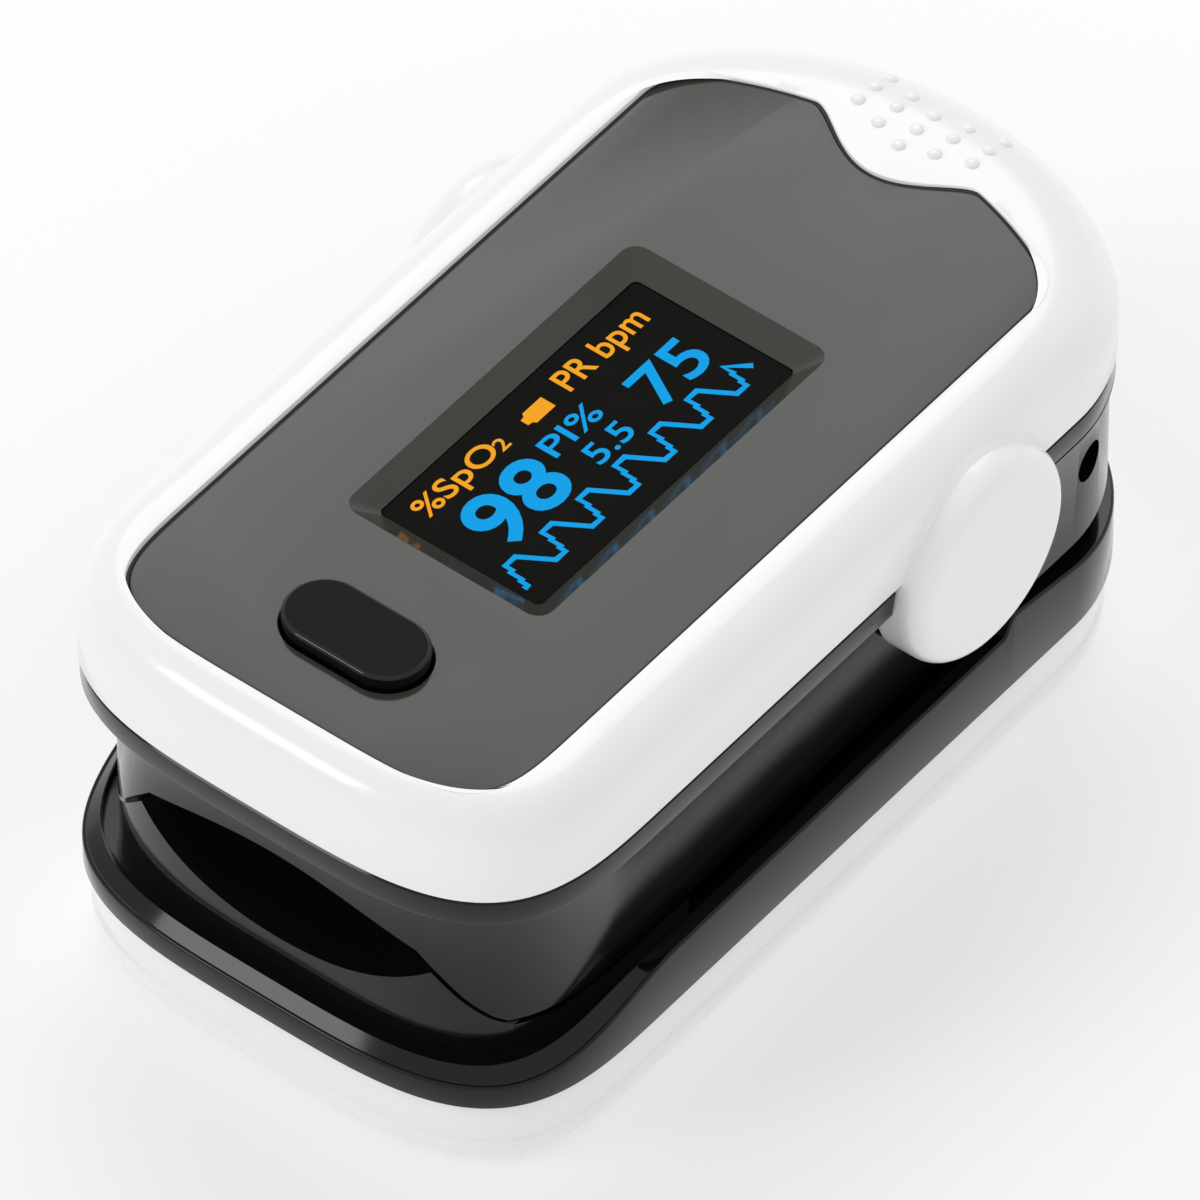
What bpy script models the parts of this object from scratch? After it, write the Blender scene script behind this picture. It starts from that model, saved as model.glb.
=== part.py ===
"""Fingertip pulse oximeter: a spring clip of two hinged housings with a display.

Metres, +Z up. The origin is on the resting plane, below the middle of the
body. The finger goes in at the -Y end, and the hinge is near the +Y end.
"""

import math

import bmesh
import bpy
from mathutils import Matrix

MM = 0.001

# Plan outline of the body.
LENGTH = 61.5 * MM
WIDTH = 33.4 * MM
FRONT_END_LENGTH = 14.0 * MM
FRONT_END_POWER = 3.6
REAR_END_LENGTH = 12.5 * MM
OUTLINE_STEPS = 14

# Clearances.
GAP = 0.3 * MM
SEAM = 0.15 * MM
OVERLAP = 0.1 * MM
FIT = 0.05 * MM
HAIR = 0.02 * MM

# Heights of the stack, from the resting plane up.
BOTTOM_COVER_HEIGHT = 5.5 * MM
LEDGE_HEIGHT = 8.95 * MM
BAND_HEIGHT = 9.9 * MM
DIP_HEIGHT = 7.3 * MM
SKIRT_FRONT_BOTTOM = 10.1 * MM
SKIRT_REAR_BOTTOM = 11.4 * MM
FLANGE_BOTTOM = 19.9 * MM
FLOOR_BOTTOM = 20.3 * MM
COVER_BOTTOM = 21.7 * MM
PANEL_TOP = 27.4 * MM
COVER_TOP = 27.8 * MM

# Walls of the mouldings.
COVER_WALL = 1.8 * MM
COVER_ROUND = 2.4 * MM
BAND_WALL = 1.5 * MM
LEDGE_WALL = 0.75 * MM
LEDGE_INSET = 0.9 * MM
FLOOR_THICKNESS = 0.8 * MM
SKIRT_INSET = 1.7 * MM
SKIRT_WALL = 1.2 * MM
REAR_SKIRT_INSET = 0.4 * MM
BAND_ROUND = 0.2 * MM
BOTTOM_INSET = 0.37 * MM
BOTTOM_WALL = 1.3 * MM
BOTTOM_FLOOR = 1.05 * MM
BOTTOM_ROUND = 2.2 * MM

# Face panel and display.
PANEL_HALF_WIDTH = WIDTH / 2 - 3.74 * MM
PANEL_FRONT_Y = -LENGTH / 2 + 2.65 * MM
PANEL_FRONT_POWER = 5.0
PANEL_FRONT_END = 9.5 * MM
PANEL_REAR_Y = LENGTH / 2 - 6.47 * MM
PANEL_REAR_RADIUS = WIDTH / 2 + 7.0 * MM
PANEL_REAR_CORNER = 3.5 * MM
PANEL_THICKNESS = 1.0 * MM
NOTCH_DEPTH = 3.08 * MM
NOTCH_HALF_WIDTH = 5.6 * MM
DISPLAY_Y = -2.75 * MM
DISPLAY_WIDTH = 10.86 * MM
DISPLAY_LENGTH = 21.74 * MM
WINDOW_WIDTH = 13.4 * MM
WINDOW_LENGTH = 24.6 * MM
MODULE_WIDTH = 19.3 * MM
MODULE_LENGTH = 26.7 * MM
MODULE_THICKNESS = 1.35 * MM

# Power button, pressed along -Z.
BUTTON_Y = -LENGTH / 2 + 8.65 * MM
BUTTON_WIDTH = 8.9 * MM
BUTTON_LENGTH = 4.7 * MM
BUTTON_PROUD = 0.95 * MM
BUTTON_MARGIN = 0.3 * MM
BUTTON_FLANGE = 0.8 * MM
BUTTON_FLANGE_THICKNESS = 0.75 * MM
BUTTON_TRAVEL = 0.45 * MM

# Circuit board and what is on it.
BOARD_WIDTH = 18.0 * MM
BOARD_FRONT_Y = -LENGTH / 2 + 5.55 * MM
BOARD_REAR_Y = LENGTH / 2 - 12.25 * MM
BOARD_THICKNESS = 0.8 * MM
CHIP_SIZE = 6.0 * MM
CHIP_Y = 2.0 * MM
CHIP_THICKNESS = 0.8 * MM

# Ears, the round blisters of the top cover over the hinge.
EAR_Y = LENGTH / 2 - 21.8 * MM
EAR_Z = 19.5 * MM
EAR_RADIUS = 6.5 * MM
EAR_OUTER_X = WIDTH / 2 + 1.7 * MM
EAR_ROUND = 1.2 * MM
EAR_WALL = 1.1 * MM

# Hinge: an axle through the lower housing's arms and the upper case's slots.
HINGE_Y = LENGTH / 2 - 18.45 * MM
HINGE_Z = 17.4 * MM
HINGE_OPEN_DEG = 8.0
FLOAT_TRAVEL = 3.0 * MM
AXLE_RADIUS = 0.9 * MM
ARM_OUTER_X = WIDTH / 2 - 4.5 * MM
ARM_THICKNESS = 1.6 * MM
ARM_RADIUS = 2.2 * MM
SPRING_RADIUS = 2.0 * MM
SPRING_WIRE = 0.35 * MM
SPRING_TURNS = 2

# Finger channel: coaxial round troughs about one line above the lower half.
TROUGH_AXIS_Z = 28.2 * MM
DECK_RADIUS = 16.45 * MM
PAD_THICKNESS = 0.6 * MM
PAD_CLEARANCE = 0.2 * MM
LIP_RADIUS = 18.0 * MM
FLARE_Y = -LENGTH / 2 + 5.75 * MM
LOWER_PAD_FRONT_Y = -LENGTH / 2 + 6.75 * MM
LOWER_PAD_WIDTH = 16.0 * MM
UPPER_PAD_WIDTH = 18.6 * MM
UPPER_PAD_RADIUS = 20.0 * MM
UPPER_PAD_Z = 17.6 * MM
PAD_REAR_Y = HINGE_Y - 6.5 * MM
STOP_Y = HINGE_Y - 4.8 * MM
STOP_THICKNESS = 1.2 * MM
STOP_WIDTH = 12.0 * MM
STOP_HEIGHT = 17.0 * MM
SPRING_INNER_X = STOP_WIDTH / 2 + 0.6 * MM
SPRING_OUTER_X = SPRING_INNER_X + 2.8 * MM
SENSOR_Y = -8.0 * MM
SENSOR_WINDOW = 5.2 * MM
SENSOR_CHIP = 4.2 * MM

# Mouth in the front of the upper skirt, and the lip that fills its corners.
MOUTH_TOP = 16.85 * MM
MOUTH_CORNER_X = 9.0 * MM
MOUTH_CORNER_Z = 15.0 * MM
MOUTH_FOOT = [
    (14.2 * MM, 9.1 * MM),
    (13.5 * MM, 10.1 * MM),
    (12.65 * MM, 10.8 * MM),
    (11.55 * MM, 12.0 * MM),
    (10.3 * MM, 13.55 * MM),
]
MOUTH_GAP = 0.2 * MM
LIP_FRONT_REACH = 8.0 * MM
DIP_FRONT_Y = -LENGTH / 2 + 2.25 * MM
DIP_REAR_Y = -LENGTH / 2 + 15.25 * MM

# Core of the lower housing, over the two cells.
CORE_HALF_WIDTH = WIDTH / 2 - 4.3 * MM
CORE_TOP = 14.6 * MM
CORE_FRONT_Y = -LENGTH / 2 + 4.25 * MM
CORE_STEP_Y = HINGE_Y + 3.7 * MM
CORE_REAR_Y = LENGTH / 2 - 6.65 * MM

# Two AAA cells side by side.
CELL_RADIUS = 5.25 * MM
CELL_LENGTH = 44.5 * MM
CELL_NUB_LENGTH = 0.8 * MM
CELL_NUB_RADIUS = 1.9 * MM
CELL_X = 5.5 * MM
CELL_Z = 6.45 * MM
BAY_FRONT_Y = -LENGTH / 2 + 5.85 * MM
BAY_CLEARANCE = 0.25 * MM
CONTACT_SPACE = 3.3 * MM
CONTACT_SIZE = 6.0 * MM
CONTACT_THICKNESS = 0.3 * MM
BRIDGE_WIDTH = 17.0 * MM
BRIDGE_HEIGHT = 3.0 * MM
CELL_SPRING_RADIUS = 2.6 * MM
CELL_SPRING_WIRE = 0.2 * MM
CELL_SPRING_TURNS = 2

# Battery door, slid off towards +Y.
DOOR_HALF_WIDTH = 11.2 * MM
DOOR_TONGUE = 0.6 * MM
DOOR_THICKNESS = 1.0 * MM
DOOR_TONGUE_HEIGHT = 0.55 * MM
DOOR_TONGUE_DRAFT = 0.1 * MM
DOOR_FRONT_Y = -LENGTH / 2 + 6.25 * MM
DOOR_CLEARANCE = 0.2 * MM
GRIP_COUNT = 4
GRIP_PITCH = 1.6 * MM
GRIP_WIDTH = 10.0 * MM
GRIP_DEPTH = 0.35 * MM
GRIP_FIRST_Y = 14.0 * MM

# Screws: (x, y) in one corner of each half; the others mirror it in X.
UPPER_SCREW_X = WIDTH / 2 - 5.1 * MM
UPPER_SCREW_FRONT_Y = -LENGTH / 2 + 8.25 * MM
UPPER_SCREW_REAR_Y = LENGTH / 2 - 11.25 * MM
LOWER_SCREW_X = WIDTH / 2 - 3.4 * MM
LOWER_SCREW_FRONT_Y = -LENGTH / 2 + 11.75 * MM
LOWER_SCREW_REAR_Y = LENGTH / 2 - 12.75 * MM
SCREW_RADIUS = 0.6 * MM
SCREW_HEAD_RADIUS = 1.2 * MM
SCREW_HEAD_HEIGHT = 0.8 * MM
SCREW_HOLE_RADIUS = SCREW_RADIUS + 0.35 * MM
UPPER_BOSS_RADIUS = 1.9 * MM
LOWER_BOSS_RADIUS = 1.5 * MM
SCREW_LENGTH = 3.4 * MM

# Lanyard hole in the right wall of the upper case.
LANYARD_Y = LENGTH / 2 - 10.8 * MM
LANYARD_Z = 16.8 * MM
LANYARD_RADIUS = 1.2 * MM

# Ribbon cable between the two halves.
RIBBON_WIDTH = 6.0 * MM
RIBBON_THICKNESS = 0.25 * MM
RIBBON_Y = BOARD_REAR_Y + 1.8 * MM
RIBBON_RUN = 2.8 * MM

FAR = 60.0 * MM

# Heights that follow from the stack.
FLOOR_TOP = FLOOR_BOTTOM + FLOOR_THICKNESS
FLANGE_TOP = COVER_BOTTOM - SEAM
BAND_BOTTOM = BOTTOM_COVER_HEIGHT + SEAM
PANEL_BOTTOM = PANEL_TOP - PANEL_THICKNESS
SEAT = PANEL_BOTTOM - GAP
PLATE_BOTTOM = SEAT - 1.1 * MM
BOARD_BOTTOM = FLOOR_TOP + GAP
BOARD_TOP = BOARD_BOTTOM + BOARD_THICKNESS
DISPLAY_TOP = PANEL_BOTTOM - GAP
FLANGE_OF_BUTTON_TOP = PLATE_BOTTOM - GAP
BUTTON_BOTTOM = FLANGE_OF_BUTTON_TOP - BUTTON_FLANGE_THICKNESS
SWITCH_TOP = BUTTON_BOTTOM - BUTTON_TRAVEL - OVERLAP
FRONT_CENTRE_Y = -LENGTH / 2 + FRONT_END_LENGTH
REAR_CENTRE_Y = LENGTH / 2 - REAR_END_LENGTH
BAY_REAR_Y = BAY_FRONT_Y + CELL_LENGTH + CONTACT_SPACE


# ---------------------------------------------------------------- scene

for old in list(bpy.data.objects):
    bpy.data.objects.remove(old, do_unlink=True)

PARTS = bpy.data.collections.new("pulse_oximeter")
CUTTERS = bpy.data.collections.new("cutters")
bpy.context.scene.collection.children.link(PARTS)
bpy.context.scene.collection.children.link(CUTTERS)


def material(name, colour, roughness, metallic=0.0):
    made = bpy.data.materials.new(name)
    made.use_nodes = True
    shader = made.node_tree.nodes["Principled BSDF"]
    shader.inputs["Base Color"].default_value = (*colour, 1.0)
    shader.inputs["Roughness"].default_value = roughness
    shader.inputs["Metallic"].default_value = metallic
    made.diffuse_color = (*colour, 1.0)
    return made


WHITE_PLASTIC = material("white_plastic", (0.87, 0.87, 0.85), 0.25)
BLACK_PLASTIC = material("black_plastic", (0.012, 0.013, 0.014), 0.15)
GREY_PANEL = material("grey_panel", (0.125, 0.127, 0.118), 0.5)
DISPLAY_GLASS = material("display_glass", (0.012, 0.012, 0.011), 0.08)
BUTTON_PLASTIC = material("button_plastic", (0.01, 0.01, 0.01), 0.3)
SILICONE = material("silicone", (0.03, 0.03, 0.032), 0.6)
CLEAR_WINDOW = material("clear_window", (0.6, 0.1, 0.1), 0.1)
CIRCUIT_BOARD = material("circuit_board", (0.02, 0.12, 0.05), 0.4)
CHIP_PACKAGE = material("chip_package", (0.02, 0.02, 0.02), 0.5)
STEEL = material("steel", (0.6, 0.6, 0.6), 0.3, 1.0)
NICKEL = material("nickel", (0.7, 0.68, 0.62), 0.25, 1.0)
CELL_JACKET = material("cell_jacket", (0.25, 0.3, 0.35), 0.35, 0.6)
RIBBON_FILM = material("ribbon_film", (0.5, 0.22, 0.03), 0.4)


# ---------------------------------------------------------------- outlines

def arc(centre, radius, start_deg, end_deg, steps):
    """Points on a circular arc, both ends included."""
    turn = (end_deg - start_deg) / steps
    angles = [math.radians(start_deg + turn * i) for i in range(steps + 1)]
    return [
        (centre[0] + radius * math.cos(a), centre[1] + radius * math.sin(a))
        for a in angles
    ]


def power_end(half_width, reach, power, steps):
    """Half a superellipse, from -X round the -Y side to +X."""
    points = []
    for i in range(steps + 1):
        angle = math.pi * (1 + i / steps)
        across, along = math.cos(angle), math.sin(angle)
        x = math.copysign(abs(across) ** (2 / power), across)
        y = math.copysign(abs(along) ** (2 / power), along)
        points.append((half_width * x, reach * y))
    return points


def body_outline(inset):
    """The plan of the body, drawn in by inset: a squarish front end, straight
    sides and an elliptical rear end."""
    half = WIDTH / 2 - inset
    front = power_end(half, FRONT_END_LENGTH - inset, FRONT_END_POWER, OUTLINE_STEPS + 2)
    rear = [
        (half * x, (REAR_END_LENGTH - inset) * y)
        for x, y in arc((0, 0), 1.0, 0, 180, OUTLINE_STEPS)
    ]
    return [(x, y + FRONT_CENTRE_Y) for x, y in front] + [
        (x, y + REAR_CENTRE_Y) for x, y in rear
    ]


def panel_outline(outset):
    """The face panel's plan, grown by outset. Its rear edge is an arc with round
    corners and a smooth notch in the middle."""
    half = PANEL_HALF_WIDTH + outset
    reach = PANEL_FRONT_END + outset
    front_centre = PANEL_FRONT_Y + PANEL_FRONT_END
    front = power_end(half, reach, PANEL_FRONT_POWER, OUTLINE_STEPS + 2)

    arc_radius = PANEL_REAR_RADIUS + outset
    arc_centre = PANEL_REAR_Y - PANEL_REAR_RADIUS
    corner = PANEL_REAR_CORNER + outset
    corner_x = PANEL_HALF_WIDTH - PANEL_REAR_CORNER
    corner_y = arc_centre + math.sqrt((arc_radius - corner) ** 2 - corner_x**2)
    meet = math.degrees(math.atan2(corner_y - arc_centre, corner_x))
    corner_points = arc((corner_x, corner_y), corner, 0, meet, 4)

    width = NOTCH_HALF_WIDTH - outset
    edge = []
    for i in range(9):
        x = width * (1 - i / 4)
        depth = NOTCH_DEPTH * max(0.0, 1 - (x / width) ** 2) ** 1.5
        edge.append((x, arc_centre + math.sqrt(arc_radius**2 - x**2) - depth))
    mirrored = [(-x, y) for x, y in reversed(corner_points)]
    return [(x, y + front_centre) for x, y in front] + corner_points + edge + mirrored


def rectangle(x_low, x_high, y_low, y_high):
    return [(x_low, y_low), (x_high, y_low), (x_high, y_high), (x_low, y_high)]


def stadium(centre, width, length, steps=8):
    """A slot outline, round at both ends of its longer side."""
    radius = min(width, length) / 2
    run_x, run_y = width / 2 - radius, length / 2 - radius
    first = (centre[0] + run_x, centre[1] + run_y)
    second = (centre[0] - run_x, centre[1] - run_y)
    start = -90 if width > length else 0
    return arc(first, radius, start, start + 180, steps) + arc(
        second, radius, start + 180, start + 360, steps
    )


def mirrored_outline(half_points):
    """An outline from its +X half, listed from the bottom to the top."""
    return half_points + [(-x, z) for x, z in reversed(half_points) if x > 0]


# ---------------------------------------------------------------- solids

# Turns an outline's (x, y) and its thickness into the axes of the part.
OUTLINE_AXES = {
    "X": Matrix(((0, 0, 1, 0), (1, 0, 0, 0), (0, 1, 0, 0), (0, 0, 0, 1))),
    "Y": Matrix(((1, 0, 0, 0), (0, 0, -1, 0), (0, 1, 0, 0), (0, 0, 0, 1))),
    "Z": Matrix.Identity(4),
}


def place(name, mesh, finish=None):
    """Puts a mesh in the part with its finish or, without one, among the cutters."""
    piece = bpy.data.objects.new(name, mesh)
    if finish:
        PARTS.objects.link(piece)
        mesh.materials.clear()
        mesh.materials.append(finish)
    else:
        CUTTERS.objects.link(piece)
        piece.hide_render = True
        piece.display_type = "WIRE"
    return piece


def curve_mesh(curve):
    """A curve's evaluated mesh, with its caps welded on."""
    holder = bpy.data.objects.new("curve", curve)
    CUTTERS.objects.link(holder)
    evaluated = holder.evaluated_get(bpy.context.evaluated_depsgraph_get())
    mesh = bpy.data.meshes.new_from_object(evaluated)
    bpy.data.objects.remove(holder, do_unlink=True)
    bm = bmesh.new()
    bm.from_mesh(mesh)
    bmesh.ops.remove_doubles(bm, verts=bm.verts, dist=1e-6)
    return mesh, bm


def prism(name, outline, low, high, axis="Z", finish=None, round_low=0.0, round_high=0.0, steps=3):
    """A flat outline made solid from low to high along an axis. The rims of its
    two ends can be rounded. Outlines across X are (y, z), across Y are (x, z)."""
    curve = bpy.data.curves.new(name, "CURVE")
    curve.dimensions = "2D"
    curve.fill_mode = "BOTH"
    curve.extrude = (high - low) / 2
    spline = curve.splines.new("POLY")
    spline.points.add(len(outline) - 1)
    for point, (x, y) in zip(spline.points, outline):
        point.co = (x, y, 0, 1)
    spline.use_cyclic_u = True
    mesh, bm = curve_mesh(curve)

    middle = -(low + high) / 2 if axis == "Y" else (low + high) / 2
    bmesh.ops.translate(bm, verts=bm.verts, vec=(0, 0, middle))
    bmesh.ops.transform(bm, verts=bm.verts, matrix=OUTLINE_AXES[axis])
    bmesh.ops.dissolve_limit(bm, angle_limit=0.001, verts=bm.verts, edges=bm.edges)
    bmesh.ops.recalc_face_normals(bm, faces=bm.faces)
    for level, radius in ((low, round_low), (high, round_high)):
        if radius:
            round_rim(bm, "XYZ".index(axis), level, radius, steps)
    bm.to_mesh(mesh)
    bm.free()
    return place(name, mesh, finish)


def round_rim(bm, axis_index, level, radius, steps):
    """Rounds the edges that lie at one level along an axis."""
    rim = [
        edge
        for edge in bm.edges
        if all(abs(v.co[axis_index] - level) < 1e-6 for v in edge.verts)
    ]
    bmesh.ops.bevel(
        bm, geom=rim, offset=radius, segments=steps, profile=0.5, affect="EDGES", material=-1
    )


def rod(name, radius, low, high, centre, axis="Z", finish=None, segments=24, end_radius=None):
    """A cylinder, or a cone with end_radius at its high end, along an axis."""
    bm = bmesh.new()
    bmesh.ops.create_cone(
        bm,
        cap_ends=True,
        segments=segments,
        radius1=radius,
        radius2=radius if end_radius is None else end_radius,
        depth=high - low,
    )
    bmesh.ops.translate(bm, verts=bm.verts, vec=(0, 0, (low + high) / 2))
    turn = {
        "X": OUTLINE_AXES["X"],
        "Y": Matrix(((0, 1, 0, 0), (0, 0, 1, 0), (1, 0, 0, 0), (0, 0, 0, 1))),
        "Z": OUTLINE_AXES["Z"],
    }[axis]
    bmesh.ops.transform(bm, verts=bm.verts, matrix=turn)
    offset = {
        "X": (0, centre[0], centre[1]),
        "Y": (centre[0], 0, centre[1]),
        "Z": (centre[0], centre[1], 0),
    }[axis]
    bmesh.ops.translate(bm, verts=bm.verts, vec=offset)
    mesh = bpy.data.meshes.new(name)
    bm.to_mesh(mesh)
    bm.free()
    return place(name, mesh, finish)


def block(name, x_range, y_range, z_range, finish=None):
    return prism(name, rectangle(*x_range, *y_range), *z_range, finish=finish)


def wire(name, points, radius, finish):
    """A round wire along a row of points, with its ends closed."""
    curve = bpy.data.curves.new(name, "CURVE")
    curve.dimensions = "3D"
    curve.bevel_depth = radius
    curve.bevel_resolution = 2
    curve.use_fill_caps = True
    spline = curve.splines.new("POLY")
    spline.points.add(len(points) - 1)
    for point, co in zip(spline.points, points):
        point.co = (*co, 1)
    mesh, bm = curve_mesh(curve)
    bm.to_mesh(mesh)
    bm.free()
    return place(name, mesh, finish)


def combine(target, operation, *tools):
    """Adds one Boolean for each tool, in order."""
    for tool in tools:
        boolean = target.modifiers.new(tool.name, "BOOLEAN")
        boolean.operation = operation
        boolean.object = tool


def cut(target, *tools):
    combine(target, "DIFFERENCE", *tools)


def join(target, *tools):
    combine(target, "UNION", *tools)


def keep_inside(target, *tools):
    combine(target, "INTERSECT", *tools)


def corner_points(x, front_y, rear_y):
    return [(x, front_y), (-x, front_y), (x, rear_y), (-x, rear_y)]


UPPER_SCREWS = corner_points(UPPER_SCREW_X, UPPER_SCREW_FRONT_Y, UPPER_SCREW_REAR_Y)
LOWER_SCREWS = corner_points(LOWER_SCREW_X, LOWER_SCREW_FRONT_Y, LOWER_SCREW_REAR_Y)


# ---------------------------------------------------------------- top cover

def ear(name, side, radius, low_x, high_x, rounding=0.0):
    """A round disc on one side of the body, standing out along X."""
    circle = arc((EAR_Y, EAR_Z), radius, 0, 345, 23)
    low, high = sorted((side * low_x, side * high_x))
    rounds = {"round_high": rounding} if side > 0 else {"round_low": rounding}
    return prism(name, circle, low, high, axis="X", **rounds)


top_cover = prism(
    "top_cover",
    body_outline(0),
    COVER_BOTTOM,
    COVER_TOP,
    finish=WHITE_PLASTIC,
    round_high=COVER_ROUND,
    steps=4,
)
EAR_INNER_X = WIDTH / 2 - SKIRT_INSET + GAP
for side in (1, -1):
    join(top_cover, ear(f"ear_disc_{side}", side, EAR_RADIUS, EAR_INNER_X, EAR_OUTER_X, EAR_ROUND))
cut(
    top_cover,
    prism("cover_hollow", body_outline(COVER_WALL), FLOOR_BOTTOM, PLATE_BOTTOM),
    prism("panel_seat", panel_outline(GAP), SEAT, COVER_TOP + GAP),
    block(
        "display_opening",
        (-MODULE_WIDTH / 2 - GAP, MODULE_WIDTH / 2 + GAP),
        (DISPLAY_Y - MODULE_LENGTH / 2 - GAP, DISPLAY_Y + MODULE_LENGTH / 2 + GAP),
        (PLATE_BOTTOM - MM, SEAT + MM),
    ),
    prism(
        "button_opening",
        stadium((0, BUTTON_Y), BUTTON_WIDTH + 2 * BUTTON_MARGIN, BUTTON_LENGTH + 2 * BUTTON_MARGIN),
        PLATE_BOTTOM - MM,
        SEAT + MM,
    ),
)
for side in (1, -1):
    hollow = ear(
        f"ear_hollow_{side}", side, EAR_RADIUS - EAR_WALL, EAR_INNER_X - GAP, EAR_OUTER_X - EAR_WALL
    )
    cut(top_cover, hollow)
for number, (x, y) in enumerate(UPPER_SCREWS, 1):
    boss = rod(
        f"cover_boss_{number}", UPPER_BOSS_RADIUS, BOARD_BOTTOM, PLATE_BOTTOM + GAP, (x, y), segments=16
    )
    hole_top = FLOOR_BOTTOM + SCREW_LENGTH + GAP
    hole = rod(f"cover_boss_hole_{number}", SCREW_HOLE_RADIUS, FLOOR_TOP, hole_top, (x, y), segments=12)
    join(top_cover, boss)
    cut(top_cover, hole)

# ---------------------------------------------------------------- face panel

face_panel = prism("face_panel", panel_outline(0), PANEL_BOTTOM, PANEL_TOP, finish=GREY_PANEL)


def tapered_window():
    """The display opening: narrow at the display, wide at the panel's face."""
    bm = bmesh.new()
    bmesh.ops.create_cube(bm, size=1.0)
    slope_x = (WINDOW_WIDTH - DISPLAY_WIDTH) / 2 / PANEL_THICKNESS
    slope_y = (WINDOW_LENGTH - DISPLAY_LENGTH) / 2 / PANEL_THICKNESS
    for vertex in bm.verts:
        rise = PANEL_THICKNESS + GAP / 2 if vertex.co.z > 0 else -GAP / 2
        vertex.co.x *= DISPLAY_WIDTH + 2 * slope_x * rise
        vertex.co.y *= DISPLAY_LENGTH + 2 * slope_y * rise
        vertex.co.y += DISPLAY_Y
        vertex.co.z = PANEL_BOTTOM + rise
    mesh = bpy.data.meshes.new("panel_window")
    bm.to_mesh(mesh)
    bm.free()
    return place("panel_window", mesh)


cut(
    face_panel,
    tapered_window(),
    prism(
        "panel_button_hole",
        stadium((0, BUTTON_Y), BUTTON_WIDTH + 2 * BUTTON_MARGIN, BUTTON_LENGTH + 2 * BUTTON_MARGIN),
        PANEL_BOTTOM - MM,
        PANEL_TOP + MM,
    ),
)

# ---------------------------------------------------------------- display, board, button

block(
    "oled_display",
    (-MODULE_WIDTH / 2, MODULE_WIDTH / 2),
    (DISPLAY_Y - MODULE_LENGTH / 2, DISPLAY_Y + MODULE_LENGTH / 2),
    (DISPLAY_TOP - MODULE_THICKNESS, DISPLAY_TOP),
    DISPLAY_GLASS,
)

block(
    "main_board",
    (-BOARD_WIDTH / 2, BOARD_WIDTH / 2),
    (BOARD_FRONT_Y, BOARD_REAR_Y),
    (BOARD_BOTTOM, BOARD_TOP),
    CIRCUIT_BOARD,
)


def square_chip(name, size, y, low, high, finish):
    return block(name, (-size / 2, size / 2), (y - size / 2, y + size / 2), (low, high), finish)


square_chip(
    "processor_chip", CHIP_SIZE, CHIP_Y, BOARD_TOP + GAP, BOARD_TOP + GAP + CHIP_THICKNESS, CHIP_PACKAGE
)
square_chip("tact_switch", SENSOR_CHIP, BUTTON_Y, BOARD_TOP + GAP, SWITCH_TOP, CHIP_PACKAGE)

power_button = prism(
    "power_button",
    stadium((0, BUTTON_Y), BUTTON_WIDTH, BUTTON_LENGTH),
    BUTTON_BOTTOM,
    PANEL_TOP + BUTTON_PROUD,
    finish=BUTTON_PLASTIC,
    round_high=0.5 * MM,
)
join(
    power_button,
    prism(
        "button_flange",
        stadium((0, BUTTON_Y), BUTTON_WIDTH + 2 * BUTTON_FLANGE, BUTTON_LENGTH + 2 * BUTTON_FLANGE),
        BUTTON_BOTTOM + FIT,
        FLANGE_OF_BUTTON_TOP,
    ),
)

# ---------------------------------------------------------------- upper case

upper_case = prism("upper_case", body_outline(0.1 * MM), FLANGE_BOTTOM, FLANGE_TOP, finish=BLACK_PLASTIC)
rear_skirt = prism("rear_skirt", body_outline(REAR_SKIRT_INSET), SKIRT_REAR_BOTTOM, FLOOR_TOP)
keep_inside(rear_skirt, block("behind_the_ears", (-FAR, FAR), (EAR_Y + 2 * MM, FAR), (0, FAR)))
join(
    upper_case,
    prism("front_skirt", body_outline(SKIRT_INSET), SKIRT_FRONT_BOTTOM, FLOOR_TOP - GAP),
    rear_skirt,
)
INNER_INSET = SKIRT_INSET + SKIRT_WALL
rear_hollow = prism("rear_hollow", body_outline(SKIRT_INSET), SKIRT_FRONT_BOTTOM - MM, FLOOR_BOTTOM - GAP)
keep_inside(rear_hollow, block("behind_the_arms", (-FAR, FAR), (CORE_STEP_Y, FAR), (0, FAR)))


def mouth_outline():
    """The mouth across X: an arch whose ends run out along the skirt's edge."""
    rise = MOUTH_TOP - MOUTH_CORNER_Z
    radius = (MOUTH_CORNER_X**2 + rise**2) / (2 * rise)
    reach = math.degrees(math.asin(MOUTH_CORNER_X / radius))
    arch = arc((0, MOUTH_TOP - radius), radius, 90 - reach, 90 + reach, 12)
    return [(-x, z) for x, z in reversed(MOUTH_FOOT)] + MOUTH_FOOT + arch


cut(
    upper_case,
    prism("skirt_hollow", body_outline(INNER_INSET), SKIRT_FRONT_BOTTOM - MM, FLOOR_BOTTOM),
    rear_hollow,
    prism("tray", body_outline(COVER_WALL + GAP), FLOOR_TOP, COVER_BOTTOM),
    block(
        "rear_trim",
        (-FAR, FAR),
        (HINGE_Y - GAP, FAR),
        (SKIRT_FRONT_BOTTOM - MM, SKIRT_REAR_BOTTOM + HAIR),
    ),
    prism("mouth", mouth_outline(), -LENGTH / 2 - MM, -LENGTH / 2 + LIP_FRONT_REACH, axis="Y"),
)
for side in (1, -1):
    relief = ear(f"ear_relief_{side}", side, EAR_RADIUS + GAP, EAR_INNER_X - GAP / 2, EAR_OUTER_X)
    slot_width = 2 * (AXLE_RADIUS + GAP)
    slot = stadium((HINGE_Y, HINGE_Z - FLOAT_TRAVEL / 2), slot_width, slot_width + FLOAT_TRAVEL)
    low, high = sorted((side * ARM_OUTER_X, side * (WIDTH / 2 - SKIRT_INSET + MM)))
    cut(upper_case, relief, prism(f"axle_slot_{side}", slot, low, high, axis="X"))
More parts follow.
